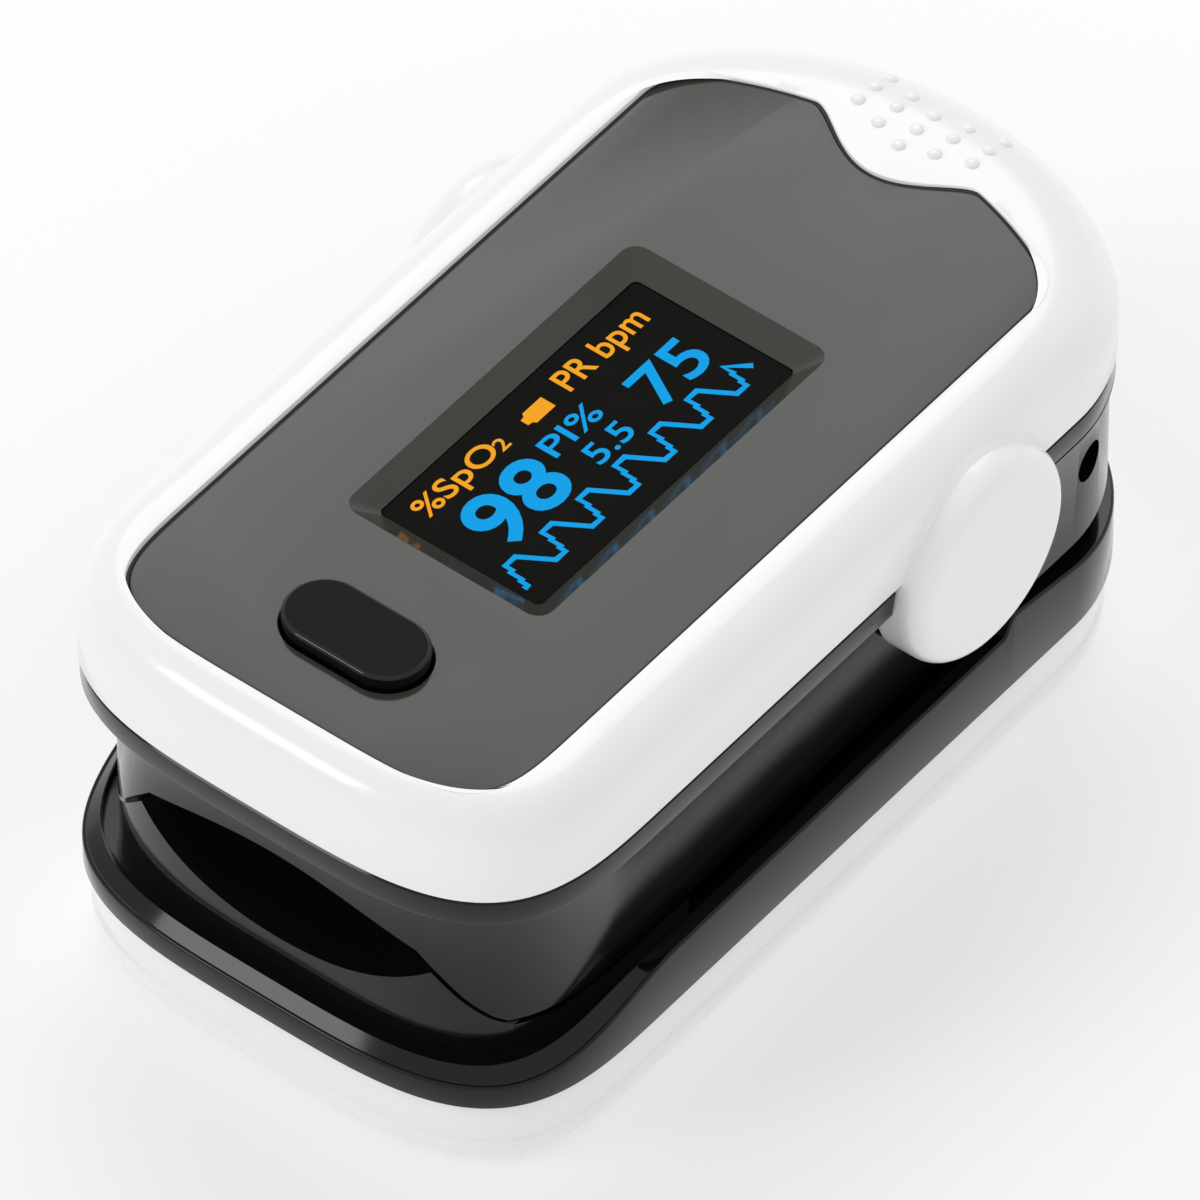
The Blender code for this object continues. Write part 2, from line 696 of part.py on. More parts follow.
EMITTER_HOLE = SENSOR_CHIP + 2 * GAP
cut(
    upper_case,
    block(
        "emitter_hole",
        (-EMITTER_HOLE / 2, EMITTER_HOLE / 2),
        (SENSOR_Y - EMITTER_HOLE / 2, SENSOR_Y + EMITTER_HOLE / 2),
        (FLOOR_BOTTOM - MM, FLOOR_TOP + MM),
    ),
    block(
        "ribbon_slot",
        (-RIBBON_WIDTH / 2 - GAP, RIBBON_WIDTH / 2 + GAP),
        (RIBBON_Y - RIBBON_THICKNESS - GAP, RIBBON_Y + GAP),
        (FLOOR_BOTTOM - MM, FLOOR_TOP + MM),
    ),
    rod(
        "lanyard_hole",
        LANYARD_RADIUS,
        WIDTH / 2 - SKIRT_INSET - 2 * MM,
        WIDTH / 2 + MM,
        (LANYARD_Y, LANYARD_Z),
        axis="X",
    ),
)
for number, (x, y) in enumerate(UPPER_SCREWS, 1):
    cut(
        upper_case,
        rod(
            f"floor_screw_hole_{number}",
            SCREW_HOLE_RADIUS,
            FLOOR_BOTTOM - MM,
            FLOOR_TOP + MM,
            (x, y),
            segments=12,
        ),
    )

# ---------------------------------------------------------------- upper pad and emitter

def upper_pad_outline():
    """A block with a round channel along its underside."""
    half = UPPER_PAD_WIDTH / 2
    reach = math.degrees(math.asin(half / UPPER_PAD_RADIUS))
    top = FLOOR_BOTTOM - GAP
    centre = (0, UPPER_PAD_Z - UPPER_PAD_RADIUS)
    return arc(centre, UPPER_PAD_RADIUS, 90 - reach, 90 + reach, 10) + [(-half, top), (half, top)]


def square_hole(name, size, y, low, high):
    return block(name, (-size / 2, size / 2), (y - size / 2, y + size / 2), (low, high))


UPPER_PAD_FRONT_Y = -LENGTH / 2 + INNER_INSET + 1.2 * MM
upper_pad = prism(
    "upper_pad", upper_pad_outline(), UPPER_PAD_FRONT_Y, PAD_REAR_Y, axis="Y", finish=SILICONE
)
cut(
    upper_pad,
    square_hole(
        "upper_pad_hole", SENSOR_WINDOW + 2 * GAP, SENSOR_Y, UPPER_PAD_Z - 2 * MM, FLOOR_BOTTOM
    ),
)
square_chip(
    "emitter_window", SENSOR_WINDOW, SENSOR_Y, UPPER_PAD_Z + OVERLAP, FLOOR_BOTTOM - 0.7 * MM, CLEAR_WINDOW
)
square_chip("led_emitter", SENSOR_CHIP, SENSOR_Y, FLOOR_BOTTOM - 0.4 * MM, FLOOR_TOP, CHIP_PACKAGE)

# ---------------------------------------------------------------- screws

def screw(name, x, y, head_low, length, upward_shaft=True):
    """A pan-head screw with its head below and its shaft going up."""
    head = rod(name, SCREW_HEAD_RADIUS, head_low, head_low + SCREW_HEAD_HEIGHT, (x, y), finish=STEEL, segments=12)
    shaft_low = head_low + SCREW_HEAD_HEIGHT / 2
    shaft_high = head_low + SCREW_HEAD_HEIGHT + length
    join(head, rod(name + "_shaft", SCREW_RADIUS, shaft_low, shaft_high, (x, y), segments=10))
    return head


for number, (x, y) in enumerate(UPPER_SCREWS, 1):
    head_low = FLOOR_BOTTOM - GAP - SCREW_HEAD_HEIGHT
    screw(f"upper_screw_{number}", x, y, head_low, SCREW_LENGTH)

LOWER_HEAD_LOW = 0.4 * MM
for number, (x, y) in enumerate(LOWER_SCREWS, 1):
    screw(f"lower_screw_{number}", x, y, LOWER_HEAD_LOW, SCREW_LENGTH + GAP)

# ---------------------------------------------------------------- hinge

rod(
    "hinge_axle",
    AXLE_RADIUS,
    -(WIDTH / 2 - SKIRT_INSET - OVERLAP),
    WIDTH / 2 - SKIRT_INSET - OVERLAP,
    (HINGE_Y, HINGE_Z),
    axis="X",
    finish=STEEL,
    segments=16,
)


def torsion_spring(name, side):
    """A coil round the axle: one leg presses the core, the other the upper floor."""
    turns = SPRING_TURNS + 0.5
    steps = int(turns * 12)
    leg_room = SPRING_WIRE + SEAM
    points = [(side * SPRING_INNER_X, STOP_Y + STOP_THICKNESS + SPRING_WIRE, CORE_TOP + leg_room)]
    for i in range(steps + 1):
        angle = math.radians(-90) + math.tau * turns * i / steps
        x = SPRING_INNER_X + (SPRING_OUTER_X - SPRING_INNER_X) * i / steps
        y = HINGE_Y + SPRING_RADIUS * math.cos(angle)
        z = HINGE_Z + SPRING_RADIUS * math.sin(angle)
        points.append((side * x, y, z))
    points.append((side * SPRING_OUTER_X, STOP_Y, FLOOR_BOTTOM - leg_room))
    return wire(name, points, SPRING_WIRE, STEEL)


torsion_spring("torsion_spring_right", 1)
torsion_spring("torsion_spring_left", -1)

# ---------------------------------------------------------------- lower case

lower_case = prism(
    "lower_case", body_outline(0), BAND_BOTTOM, BAND_HEIGHT, finish=BLACK_PLASTIC, round_high=BAND_ROUND, steps=2
)
riser = prism("riser", body_outline(FIT), LEDGE_HEIGHT - MM, SKIRT_REAR_BOTTOM)
RISER_Y = HINGE_Y + 0.2 * MM
keep_inside(riser, block("riser_zone", (-FAR, FAR), (RISER_Y, FAR), (0, FAR)))
cut(riser, prism("riser_hollow", body_outline(INNER_INSET), LEDGE_HEIGHT, SKIRT_REAR_BOTTOM + MM))
ledge = prism("ledge", body_outline(LEDGE_INSET), LEDGE_HEIGHT, BAND_HEIGHT + MM)
keep_inside(ledge, block("ledge_zone", (-FAR, FAR), (-FAR, RISER_Y), (0, FAR)))


def wedge_outline():
    """Room for the upper case's rear edge as it swings down about the hinge."""
    open_angle = math.radians(HINGE_OPEN_DEG)
    drop = (HINGE_Z - SKIRT_REAR_BOTTOM) / math.cos(open_angle) + 0.12 * MM
    near_y = HINGE_Y - MM
    near = (near_y, HINGE_Z - drop - (near_y - HINGE_Y) * math.tan(open_angle))
    far = (FAR, HINGE_Z - drop - (FAR - HINGE_Y) * math.tan(open_angle))
    return [near, far, (FAR, HINGE_Z), (near_y, HINGE_Z)]


dip_outline = [
    (-FAR, DIP_HEIGHT),
    (DIP_FRONT_Y, DIP_HEIGHT),
    (DIP_REAR_Y, BAND_HEIGHT),
    (DIP_REAR_Y, FAR),
    (-FAR, FAR),
]
cut(lower_case, ledge)
join(lower_case, riser)
band_hollow = prism("band_hollow", body_outline(BAND_WALL), BAND_BOTTOM - MM, LEDGE_HEIGHT - LEDGE_WALL)
cut(lower_case, prism("closing_wedge", wedge_outline(), -FAR, FAR, axis="X"), band_hollow)

CORE_FOOT = BAND_BOTTOM + OVERLAP
front_core = prism(
    "front_core",
    [
        (-CORE_HALF_WIDTH, CORE_FOOT),
        (CORE_HALF_WIDTH, CORE_FOOT),
        (CORE_HALF_WIDTH, CORE_TOP - MM),
        (CORE_HALF_WIDTH - MM, CORE_TOP),
        (-CORE_HALF_WIDTH + MM, CORE_TOP),
        (-CORE_HALF_WIDTH, CORE_TOP - MM),
    ],
    CORE_FRONT_Y,
    CORE_STEP_Y,
    axis="Y",
)
keep_inside(front_core, prism("core_bounds", body_outline(INNER_INSET + GAP), 0, FAR))


def rear_core_outline():
    """The shell over the cells' rear ends, chamfered to clear the swinging skirt."""
    top = CELL_Z + CELL_RADIUS + 1.05 * MM
    half = [
        (CORE_HALF_WIDTH - OVERLAP, CORE_FOOT + FIT),
        (CORE_HALF_WIDTH - OVERLAP, 8.0 * MM),
        (CORE_HALF_WIDTH - 3.1 * MM, 12.0 * MM),
        (8.0 * MM, top),
    ]
    return mirrored_outline(half)


rear_core = prism(
    "rear_core", rear_core_outline(), CORE_STEP_Y - MM, CORE_REAR_Y, axis="Y"
)


def lip_outline():
    """Fills the mouth's lower corners, with a gap to the skirt all round."""
    half = [(x - MOUTH_GAP / 2, z - MOUTH_GAP) for x, z in MOUTH_FOOT[1:]]
    return mirrored_outline([(half[0][0], 0)] + half)


dip = prism("dip", dip_outline, -WIDTH, WIDTH, axis="X")
cut(dip, prism("dip_core", body_outline(LEDGE_INSET), 0, FAR))
cut(lower_case, dip)
front_lip = prism("front_lip", body_outline(SKIRT_INSET + HAIR), LEDGE_HEIGHT - 0.5 * MM, CORE_TOP)
keep_inside(front_lip, prism("lip_zone", lip_outline(), -FAR, CORE_FRONT_Y + 2 * MM, axis="Y"))
join(lower_case, front_core, rear_core, front_lip)

for side in (1, -1):
    arm_outline = arc((HINGE_Y, HINGE_Z), ARM_RADIUS, 0, 180, 8) + [
        (HINGE_Y - ARM_RADIUS, CORE_TOP - 1.5 * MM),
        (HINGE_Y + ARM_RADIUS, CORE_TOP - 1.5 * MM),
    ]
    low, high = sorted((side * (ARM_OUTER_X - ARM_THICKNESS), side * ARM_OUTER_X))
    join(lower_case, prism(f"arm_{side}", arm_outline, low, high, axis="X"))

TROUGH_STEPS = 96
cut(
    lower_case,
    rod(
        "trough",
        DECK_RADIUS,
        FLARE_Y - MM,
        STOP_Y + STOP_THICKNESS,
        (0, TROUGH_AXIS_Z),
        axis="Y",
        segments=TROUGH_STEPS,
    ),
    rod(
        "lip_flare",
        LIP_RADIUS,
        -LENGTH / 2 + SKIRT_INSET - 0.5 * MM,
        FLARE_Y,
        (0, TROUGH_AXIS_Z),
        axis="Y",
        segments=TROUGH_STEPS,
        end_radius=DECK_RADIUS + HAIR / 2,
    ),
)


def bay_outline():
    """Round over each cell, and open downwards."""
    radius = CELL_RADIUS + BAY_CLEARANCE
    right = arc((CELL_X, CELL_Z), radius, 0, 180, 12)
    left = [(x - 2 * CELL_X, z) for x, z in right]
    foot = CORE_FOOT - MM
    return right + left[1:] + [(-CELL_X - radius, foot), (CELL_X + radius, foot)]


cut(
    lower_case,
    prism("battery_bay", bay_outline(), BAY_FRONT_Y, BAY_REAR_Y, axis="Y"),
    square_hole("sensor_hole", SENSOR_CHIP + 2 * GAP, SENSOR_Y, CELL_Z, TROUGH_AXIS_Z - DECK_RADIUS + MM),
    rod(
        "arm_bore",
        AXLE_RADIUS + GAP,
        -ARM_OUTER_X - MM,
        ARM_OUTER_X + MM,
        (HINGE_Y, HINGE_Z),
        axis="X",
        segments=16,
    ),
)
join(
    lower_case,
    block(
        "finger_stop",
        (-STOP_WIDTH / 2, STOP_WIDTH / 2),
        (STOP_Y - STOP_THICKNESS / 2, STOP_Y + STOP_THICKNESS / 2),
        (CELL_Z + CELL_RADIUS + 0.3 * MM, STOP_HEIGHT),
    ),
)
COVER_BOSS_TOP = LOWER_HEAD_LOW + SCREW_HEAD_HEIGHT + 1.4 * MM
for number, (x, y) in enumerate(LOWER_SCREWS, 1):
    boss_top = LEDGE_HEIGHT - 0.5 * MM
    hole_top = LOWER_HEAD_LOW + SCREW_HEAD_HEIGHT + SCREW_LENGTH + 2 * GAP
    boss = rod(
        f"case_boss_{number}", LOWER_BOSS_RADIUS, COVER_BOSS_TOP + GAP, boss_top, (x, y), segments=14
    )
    hole = rod(
        f"case_boss_hole_{number}", SCREW_HOLE_RADIUS, COVER_BOSS_TOP, hole_top, (x, y), segments=12
    )
    join(lower_case, boss)
    cut(lower_case, hole)

# ---------------------------------------------------------------- lower pad and sensor

def lower_pad_outline():
    """A sheet bent to the trough."""
    half = LOWER_PAD_WIDTH / 2
    under = DECK_RADIUS - PAD_CLEARANCE
    over = under - PAD_THICKNESS
    reach_under = math.degrees(math.asin(half / under))
    reach_over = math.degrees(math.asin(half / over))
    centre = (0, TROUGH_AXIS_Z)
    return arc(centre, under, -90 - reach_under, -90 + reach_under, 10) + arc(
        centre, over, -90 + reach_over, -90 - reach_over, 10
    )


lower_pad = prism(
    "lower_pad", lower_pad_outline(), LOWER_PAD_FRONT_Y, PAD_REAR_Y, axis="Y", finish=SILICONE
)
DECK_Z = TROUGH_AXIS_Z - DECK_RADIUS
cut(
    lower_pad,
    square_hole("lower_pad_hole", SENSOR_WINDOW + 2 * GAP, SENSOR_Y, DECK_Z - MM, DECK_Z + 3 * MM),
)
square_chip(
    "sensor_window",
    SENSOR_WINDOW,
    SENSOR_Y,
    DECK_Z + PAD_CLEARANCE + 0.15 * MM,
    DECK_Z + PAD_CLEARANCE + PAD_THICKNESS,
    CLEAR_WINDOW,
)
square_chip(
    "photodiode", SENSOR_CHIP, SENSOR_Y, CELL_Z + 4.35 * MM, DECK_Z, CHIP_PACKAGE
)

# ---------------------------------------------------------------- cells and contacts

def cell(name, side, negative_end_y, direction):
    """An AAA cell from its flat end to its nub, along +Y or -Y."""
    shoulder = negative_end_y + direction * (CELL_LENGTH - CELL_NUB_LENGTH)
    tip = negative_end_y + direction * CELL_LENGTH
    centre = (side * CELL_X, CELL_Z)
    low, high = sorted((negative_end_y, shoulder))
    made = rod(name, CELL_RADIUS, low, high, centre, axis="Y", finish=CELL_JACKET)
    low, high = sorted((shoulder - direction * 0.3 * MM, tip))
    join(made, rod(name + "_nub", CELL_NUB_RADIUS, low, high, centre, axis="Y", segments=12))
    return made


FRONT_CONTACT_Y = BAY_FRONT_Y + 0.2 * MM
REAR_CONTACT_Y = BAY_REAR_Y - 0.2 * MM - CONTACT_THICKNESS
LEFT_CELL_Y = REAR_CONTACT_Y - GAP - CELL_LENGTH
RIGHT_CELL_Y = FRONT_CONTACT_Y + CONTACT_THICKNESS + GAP + CELL_LENGTH
cell("battery_left", -1, LEFT_CELL_Y, 1)
cell("battery_right", 1, RIGHT_CELL_Y, -1)

for name, side in (("battery_contact_left", -1), ("battery_contact_right", 1)):
    middle = side * CELL_X
    block(
        name,
        (middle - CONTACT_SIZE / 2, middle + CONTACT_SIZE / 2),
        (FRONT_CONTACT_Y, FRONT_CONTACT_Y + CONTACT_THICKNESS),
        (CELL_Z - CONTACT_SIZE / 2, CELL_Z + CONTACT_SIZE / 2),
        NICKEL,
    )
block(
    "battery_bridge",
    (-BRIDGE_WIDTH / 2, BRIDGE_WIDTH / 2),
    (REAR_CONTACT_Y, REAR_CONTACT_Y + CONTACT_THICKNESS),
    (CELL_Z - GAP - BRIDGE_HEIGHT, CELL_Z - GAP),
    NICKEL,
)


def cell_spring(name, side, wide_y, narrow_y):
    """A conical coil between a contact and a cell's flat end."""
    steps = CELL_SPRING_TURNS * 10
    points = []
    for i in range(steps + 1):
        part = i / steps
        angle = math.tau * CELL_SPRING_TURNS * part
        radius = CELL_SPRING_RADIUS * (1 - 0.45 * part)
        y = wide_y + (narrow_y - wide_y) * part
        points.append((side * CELL_X + radius * math.cos(angle), y, CELL_Z + radius * math.sin(angle)))
    return wire(name, points, CELL_SPRING_WIRE, NICKEL)


SPRING_ROOM = CELL_SPRING_WIRE + 0.15 * MM
cell_spring(
    "battery_spring_left", -1, FRONT_CONTACT_Y + CONTACT_THICKNESS + SPRING_ROOM, LEFT_CELL_Y - SPRING_ROOM
)
cell_spring("battery_spring_right", 1, REAR_CONTACT_Y - SPRING_ROOM, RIGHT_CELL_Y + SPRING_ROOM)

# ---------------------------------------------------------------- bottom cover and door

def bottom_shell(name):
    """The white tray that both the bottom cover and its door are cut from."""
    shell = prism(
        name,
        body_outline(BOTTOM_INSET),
        0,
        BOTTOM_COVER_HEIGHT,
        finish=WHITE_PLASTIC,
        round_low=BOTTOM_ROUND,
        steps=3,
    )
    hollow = prism(
        name + "_hollow",
        body_outline(BOTTOM_INSET + BOTTOM_WALL),
        BOTTOM_FLOOR,
        BOTTOM_COVER_HEIGHT + MM,
    )
    cut(shell, hollow)
    return shell


def door_outline(clearance, top):
    """The door across X: a plate with a drafted tongue along each upper edge."""
    narrow = DOOR_HALF_WIDTH + clearance
    wide = narrow + DOOR_TONGUE
    step = DOOR_TONGUE_HEIGHT - clearance / 2
    root = step - DOOR_TONGUE_DRAFT
    return mirrored_outline([(narrow, -MM), (narrow, root), (wide, step), (wide, top)])


bottom_cover = bottom_shell("bottom_cover")
for number, (x, y) in enumerate(LOWER_SCREWS, 1):
    boss = rod(
        f"tray_boss_{number}", LOWER_BOSS_RADIUS, BOTTOM_FLOOR - GAP, COVER_BOSS_TOP, (x, y), segments=14
    )
    head_room = rod(
        f"tray_head_room_{number}",
        SCREW_HEAD_RADIUS + 0.2 * MM,
        -MM,
        LOWER_HEAD_LOW + SCREW_HEAD_HEIGHT + 0.2 * MM,
        (x, y),
        segments=14,
    )
    hole = rod(
        f"tray_hole_{number}", SCREW_HOLE_RADIUS, BOTTOM_FLOOR - GAP, COVER_BOSS_TOP + MM, (x, y), segments=12
    )
    join(bottom_cover, boss)
    cut(bottom_cover, head_room, hole)
cut(
    bottom_cover,
    prism(
        "door_opening",
        door_outline(DOOR_CLEARANCE, DOOR_THICKNESS + DOOR_CLEARANCE),
        DOOR_FRONT_Y - DOOR_CLEARANCE,
        FAR,
        axis="Y",
    ),
)

battery_door = bottom_shell("battery_door")
keep_inside(battery_door, prism("door_shape", door_outline(0, DOOR_THICKNESS), DOOR_FRONT_Y, FAR, axis="Y"))
for i in range(GRIP_COUNT):
    y = GRIP_FIRST_Y + i * GRIP_PITCH
    cut(
        battery_door,
        block(
            f"door_grip_{i + 1}",
            (-GRIP_WIDTH / 2, GRIP_WIDTH / 2),
            (y - GRIP_PITCH / 4, y + GRIP_PITCH / 4),
            (-MM, GRIP_DEPTH),
        ),
    )

# ---------------------------------------------------------------- ribbon cable

def ribbon_outline():
    """A folded strip in side view: off the board, down the slot, onto the lower half."""
    thick = RIBBON_THICKNESS
    start_y = BOARD_REAR_Y + GAP
    high = BOARD_TOP
    low = CELL_Z + CELL_RADIUS + 1.05 * MM + GAP
    outer_y = RIBBON_Y
    return [
        (start_y, high - thick),
        (outer_y - thick, high - thick),
        (outer_y - thick, low + thick),
        (outer_y - RIBBON_RUN, low + thick),
        (outer_y - RIBBON_RUN, low),
        (outer_y, low),
        (outer_y, high),
        (start_y, high),
    ]


prism(
    "ribbon_cable", ribbon_outline(), -RIBBON_WIDTH / 2, RIBBON_WIDTH / 2, axis="X", finish=RIBBON_FILM
)

for piece in PARTS.objects:
    piece.data.shade_smooth()
    piece.data.set_sharp_from_angle(angle=math.radians(35))
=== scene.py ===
"""A fingertip pulse oximeter: a spring clip with a display and a key in its upper
half and two cells in its lower half. Lengths are in millimetres until a piece is
finished, when its mesh is scaled to metres."""

import math

import bmesh
import bpy
from mathutils import Matrix, Vector
from mathutils.bvhtree import BVHTree


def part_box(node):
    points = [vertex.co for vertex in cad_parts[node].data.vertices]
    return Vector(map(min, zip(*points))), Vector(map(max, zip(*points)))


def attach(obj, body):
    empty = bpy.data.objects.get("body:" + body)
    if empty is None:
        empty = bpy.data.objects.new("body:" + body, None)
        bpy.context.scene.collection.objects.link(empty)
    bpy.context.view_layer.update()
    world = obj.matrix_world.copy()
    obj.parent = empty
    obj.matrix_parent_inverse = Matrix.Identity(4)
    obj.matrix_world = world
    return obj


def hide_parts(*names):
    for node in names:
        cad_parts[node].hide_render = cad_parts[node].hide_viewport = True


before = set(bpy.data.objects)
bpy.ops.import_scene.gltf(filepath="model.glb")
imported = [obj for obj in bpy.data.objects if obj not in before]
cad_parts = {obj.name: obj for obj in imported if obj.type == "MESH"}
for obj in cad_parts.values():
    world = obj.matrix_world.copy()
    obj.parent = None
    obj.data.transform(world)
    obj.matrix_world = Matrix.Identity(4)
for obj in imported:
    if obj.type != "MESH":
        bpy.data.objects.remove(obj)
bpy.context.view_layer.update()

# ---------------------------------------------------------------- bottom cover
# The white tray under the cells, injection moulded in glossy ABS. Four screws
# hold it to the lower case, and the battery door runs in its floor.


def node_box(name):
    """A node's lowest and highest corners, in millimetres."""
    low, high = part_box(name)
    return low * 1000, high * 1000


low, high = node_box("lower_case")
BODY_HALF_WIDTH = high.x
BODY_FRONT_Y = low.y
BODY_REAR_Y = high.y
FRONT_REACH = 14.0
FRONT_POWER = 3.6
FRONT_SPREAD = 0.62
REAR_REACH = 12.5
SIDE_STATIONS = [-12, -7, -2, 3, 7, 9.4, 10.2, 11, 11.6, 12, 12.3, 12.6, 12.9, 13.2, 13.6, 14.2, 15, 16, 17]


def body_plan(inset=0.0):
    """The body's outline from above, drawn in by inset: a squarish front end,
    straight sides and a round rear end."""
    half = BODY_HALF_WIDTH - inset
    centre = BODY_FRONT_Y + FRONT_REACH
    points = []
    steps = 96
    for step in range(steps + 1):
        turn = math.pi * (1 + step / steps)
        across = math.copysign(abs(math.cos(turn)) ** FRONT_SPREAD, math.cos(turn))
        along = -abs(math.sin(turn)) ** FRONT_SPREAD
        stretch = (abs(across) ** FRONT_POWER + abs(along) ** FRONT_POWER) ** (-1 / FRONT_POWER)
        points.append((half * across * stretch, centre + (FRONT_REACH - inset) * along * stretch))
    centre = BODY_REAR_Y - REAR_REACH
    points += [(half, y) for y in SIDE_STATIONS]
    steps = 64
    for step in range(steps + 1):
        turn = math.pi * step / steps
        points.append((half * math.cos(turn), centre + (REAR_REACH - inset) * math.sin(turn)))
    return points + [(-half, y) for y in reversed(SIDE_STATIONS)]


STATIONS = [y for x, y in body_plan()]


def draw_shell(bm, rings, close="caps"):
    """Draws a skin from ring to ring, and closes its ends."""
    made = bmesh.ops.create_circle(bm, segments=len(rings[0]))["verts"]
    ring = first = list(made)
    for corner, place in zip(ring, rings[0]):
        corner.co = place
    for places in rings[1:]:
        edges = [bm.edges.get(pair) for pair in zip(ring, ring[1:] + ring[:1])]
        drawn = set(bmesh.ops.extrude_edge_only(bm, edges=edges)["geom"])
        ring = [
            next(e.other_vert(corner) for e in corner.link_edges if e.other_vert(corner) in drawn)
            for corner in ring
        ]
        for corner, place in zip(ring, places):
            corner.co = place
    ends = [[bm.edges.get(pair) for pair in zip(r, r[1:] + r[:1])] for r in (first, ring)]
    if close == "bridge":
        bmesh.ops.bridge_loops(bm, edges=ends[0] + ends[1])
    elif close == "caps":
        for edges in ends:
            bmesh.ops.contextual_create(bm, geom=edges)
    bmesh.ops.recalc_face_normals(bm, faces=bm.faces)
    return ends


def piece_from(bm, name):
    """A mesh object in the scene, in millimetres."""
    mesh = bpy.data.meshes.new(name)
    bm.to_mesh(mesh)
    bm.free()
    piece = bpy.data.objects.new(name, mesh)
    bpy.context.scene.collection.objects.link(piece)
    return piece


def shell_piece(name, rings, close="caps"):
    bm = bmesh.new()
    draw_shell(bm, rings, close)
    return piece_from(bm, name)


def body_rings(levels):
    """Rings that follow the body's outline through a list of levels. A level is
    (inset, height), and either may be a function of the place along the body."""
    rings = []
    for inset, height in levels:
        plans = {}
        ring = []
        for number, y in enumerate(STATIONS):
            here = inset(y) if callable(inset) else inset
            if here not in plans:
                plans[here] = body_plan(here)
            x, y_here = plans[here][number]
            ring.append((x, y_here, height(y) if callable(height) else height))
        rings.append(ring)
    return rings


def body_shell(name, levels):
    return shell_piece(name, body_rings(levels))


def rounding(inset, height, radius, start_deg, end_deg, steps=6):
    """Levels round an arc whose centre is at (inset, height)."""
    turns = [math.radians(start_deg + (end_deg - start_deg) * i / steps) for i in range(steps + 1)]
    return [(inset - radius * math.cos(t), height + radius * math.sin(t)) for t in turns]


def settle(piece):
    """Makes a piece's modifiers part of its mesh."""
    evaluated = piece.evaluated_get(bpy.context.evaluated_depsgraph_get())
    mesh = bpy.data.meshes.new_from_object(evaluated)
    piece.modifiers.clear()
    piece.data = mesh


def combine(piece, operation, *tools):
    """Adds, cuts or keeps the tools' shapes, which are then gone."""
    for tool in tools:
        boolean = piece.modifiers.new(tool.name, "BOOLEAN")
        boolean.operation = operation
        boolean.object = tool
    settle(piece)
    for tool in tools:
        bpy.data.objects.remove(tool)


def turned_to(axis):
    """Turns the Z axis to X, Y or Z."""
    return {
        "X": Matrix.Rotation(math.radians(90), 4, "Y"),
        "Y": Matrix.Rotation(math.radians(-90), 4, "X"),
        "Z": Matrix.Identity(4),
    }[axis]


def rod_tool(radius, start, end, axis="Z", end_radius=None, segments=48):
    """A cylinder or cone from one point to another, along an axis."""
    bm = bmesh.new()
    bmesh.ops.create_cone(
        bm,
        cap_ends=True,
        segments=segments,
        radius1=radius,
        radius2=radius if end_radius is None else end_radius,
        depth=(Vector(end) - Vector(start)).length,
    )
    bmesh.ops.transform(bm, verts=bm.verts, matrix=turned_to(axis))
    bmesh.ops.translate(bm, verts=bm.verts, vec=(Vector(start) + Vector(end)) / 2)
    return piece_from(bm, "rod_tool")


def finish(piece, body, material, nodes=(), crease_deg=32):
    """Cleans a piece's mesh, scales it to metres and hands it over."""
    bm = bmesh.new()
    bm.from_mesh(piece.data)
    bmesh.ops.remove_doubles(bm, verts=bm.verts, dist=0.002)
    bmesh.ops.dissolve_degenerate(bm, edges=bm.edges, dist=0.001)
    bmesh.ops.scale(bm, vec=(0.001,) * 3, verts=bm.verts)
    bm.to_mesh(piece.data)
    bm.free()
    piece.data.materials.clear()
    piece.data.materials.append(material)
    piece.data.shade_smooth()
    piece.data.set_sharp_from_angle(angle=math.radians(crease_deg))
    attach(piece, body)
    if nodes:
        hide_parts(*nodes)
    return piece


def plastic(name, colour, roughness, grain=0.0, grain_scale=9000, mottle=0.0, coat=0.0, spread=0.05, specular=0.5):
    """A moulded plastic: faint mottling in colour and gloss, over fine grain."""
    made = bpy.data.materials.new(name)
    made.use_nodes = True
    nodes, links = made.node_tree.nodes, made.node_tree.links
    shader = nodes["Principled BSDF"]
    place = nodes.new("ShaderNodeTexCoord")
    cloud = nodes.new("ShaderNodeTexNoise")
    cloud.inputs["Scale"].default_value = 260
    cloud.inputs["Detail"].default_value = 4
    links.new(place.outputs["Object"], cloud.inputs["Vector"])
    tint = nodes.new("ShaderNodeMix")
    tint.data_type = "RGBA"
    tint.inputs["A"].default_value = (*[c * (1 - mottle) for c in colour], 1)
    tint.inputs["B"].default_value = (*[min(1, c * (1 + mottle)) for c in colour], 1)
    links.new(cloud.outputs["Fac"], tint.inputs["Factor"])
    links.new(tint.outputs["Result"], shader.inputs["Base Color"])
    gloss = nodes.new("ShaderNodeMapRange")
    gloss.inputs["To Min"].default_value = max(0.0, roughness - spread)
    gloss.inputs["To Max"].default_value = roughness + spread
    links.new(cloud.outputs["Fac"], gloss.inputs["Value"])
    links.new(gloss.outputs["Result"], shader.inputs["Roughness"])
    shader.inputs["Specular IOR Level"].default_value = specular
    shader.inputs["Coat Weight"].default_value = coat
    shader.inputs["Coat Roughness"].default_value = 0.04
    if grain:
        texture = nodes.new("ShaderNodeTexNoise")
        texture.inputs["Scale"].default_value = grain_scale
        texture.inputs["Detail"].default_value = 2
        links.new(place.outputs["Object"], texture.inputs["Vector"])
        bump = nodes.new("ShaderNodeBump")
        bump.inputs["Strength"].default_value = grain
        bump.inputs["Distance"].default_value = 0.00002
        links.new(texture.outputs["Fac"], bump.inputs["Height"])
        links.new(bump.outputs["Normal"], shader.inputs["Normal"])
    return made


WHITE_ABS = plastic("white_abs", (0.86, 0.862, 0.845), 0.24, grain=0.05, grain_scale=1500, mottle=0.008, coat=0.3)

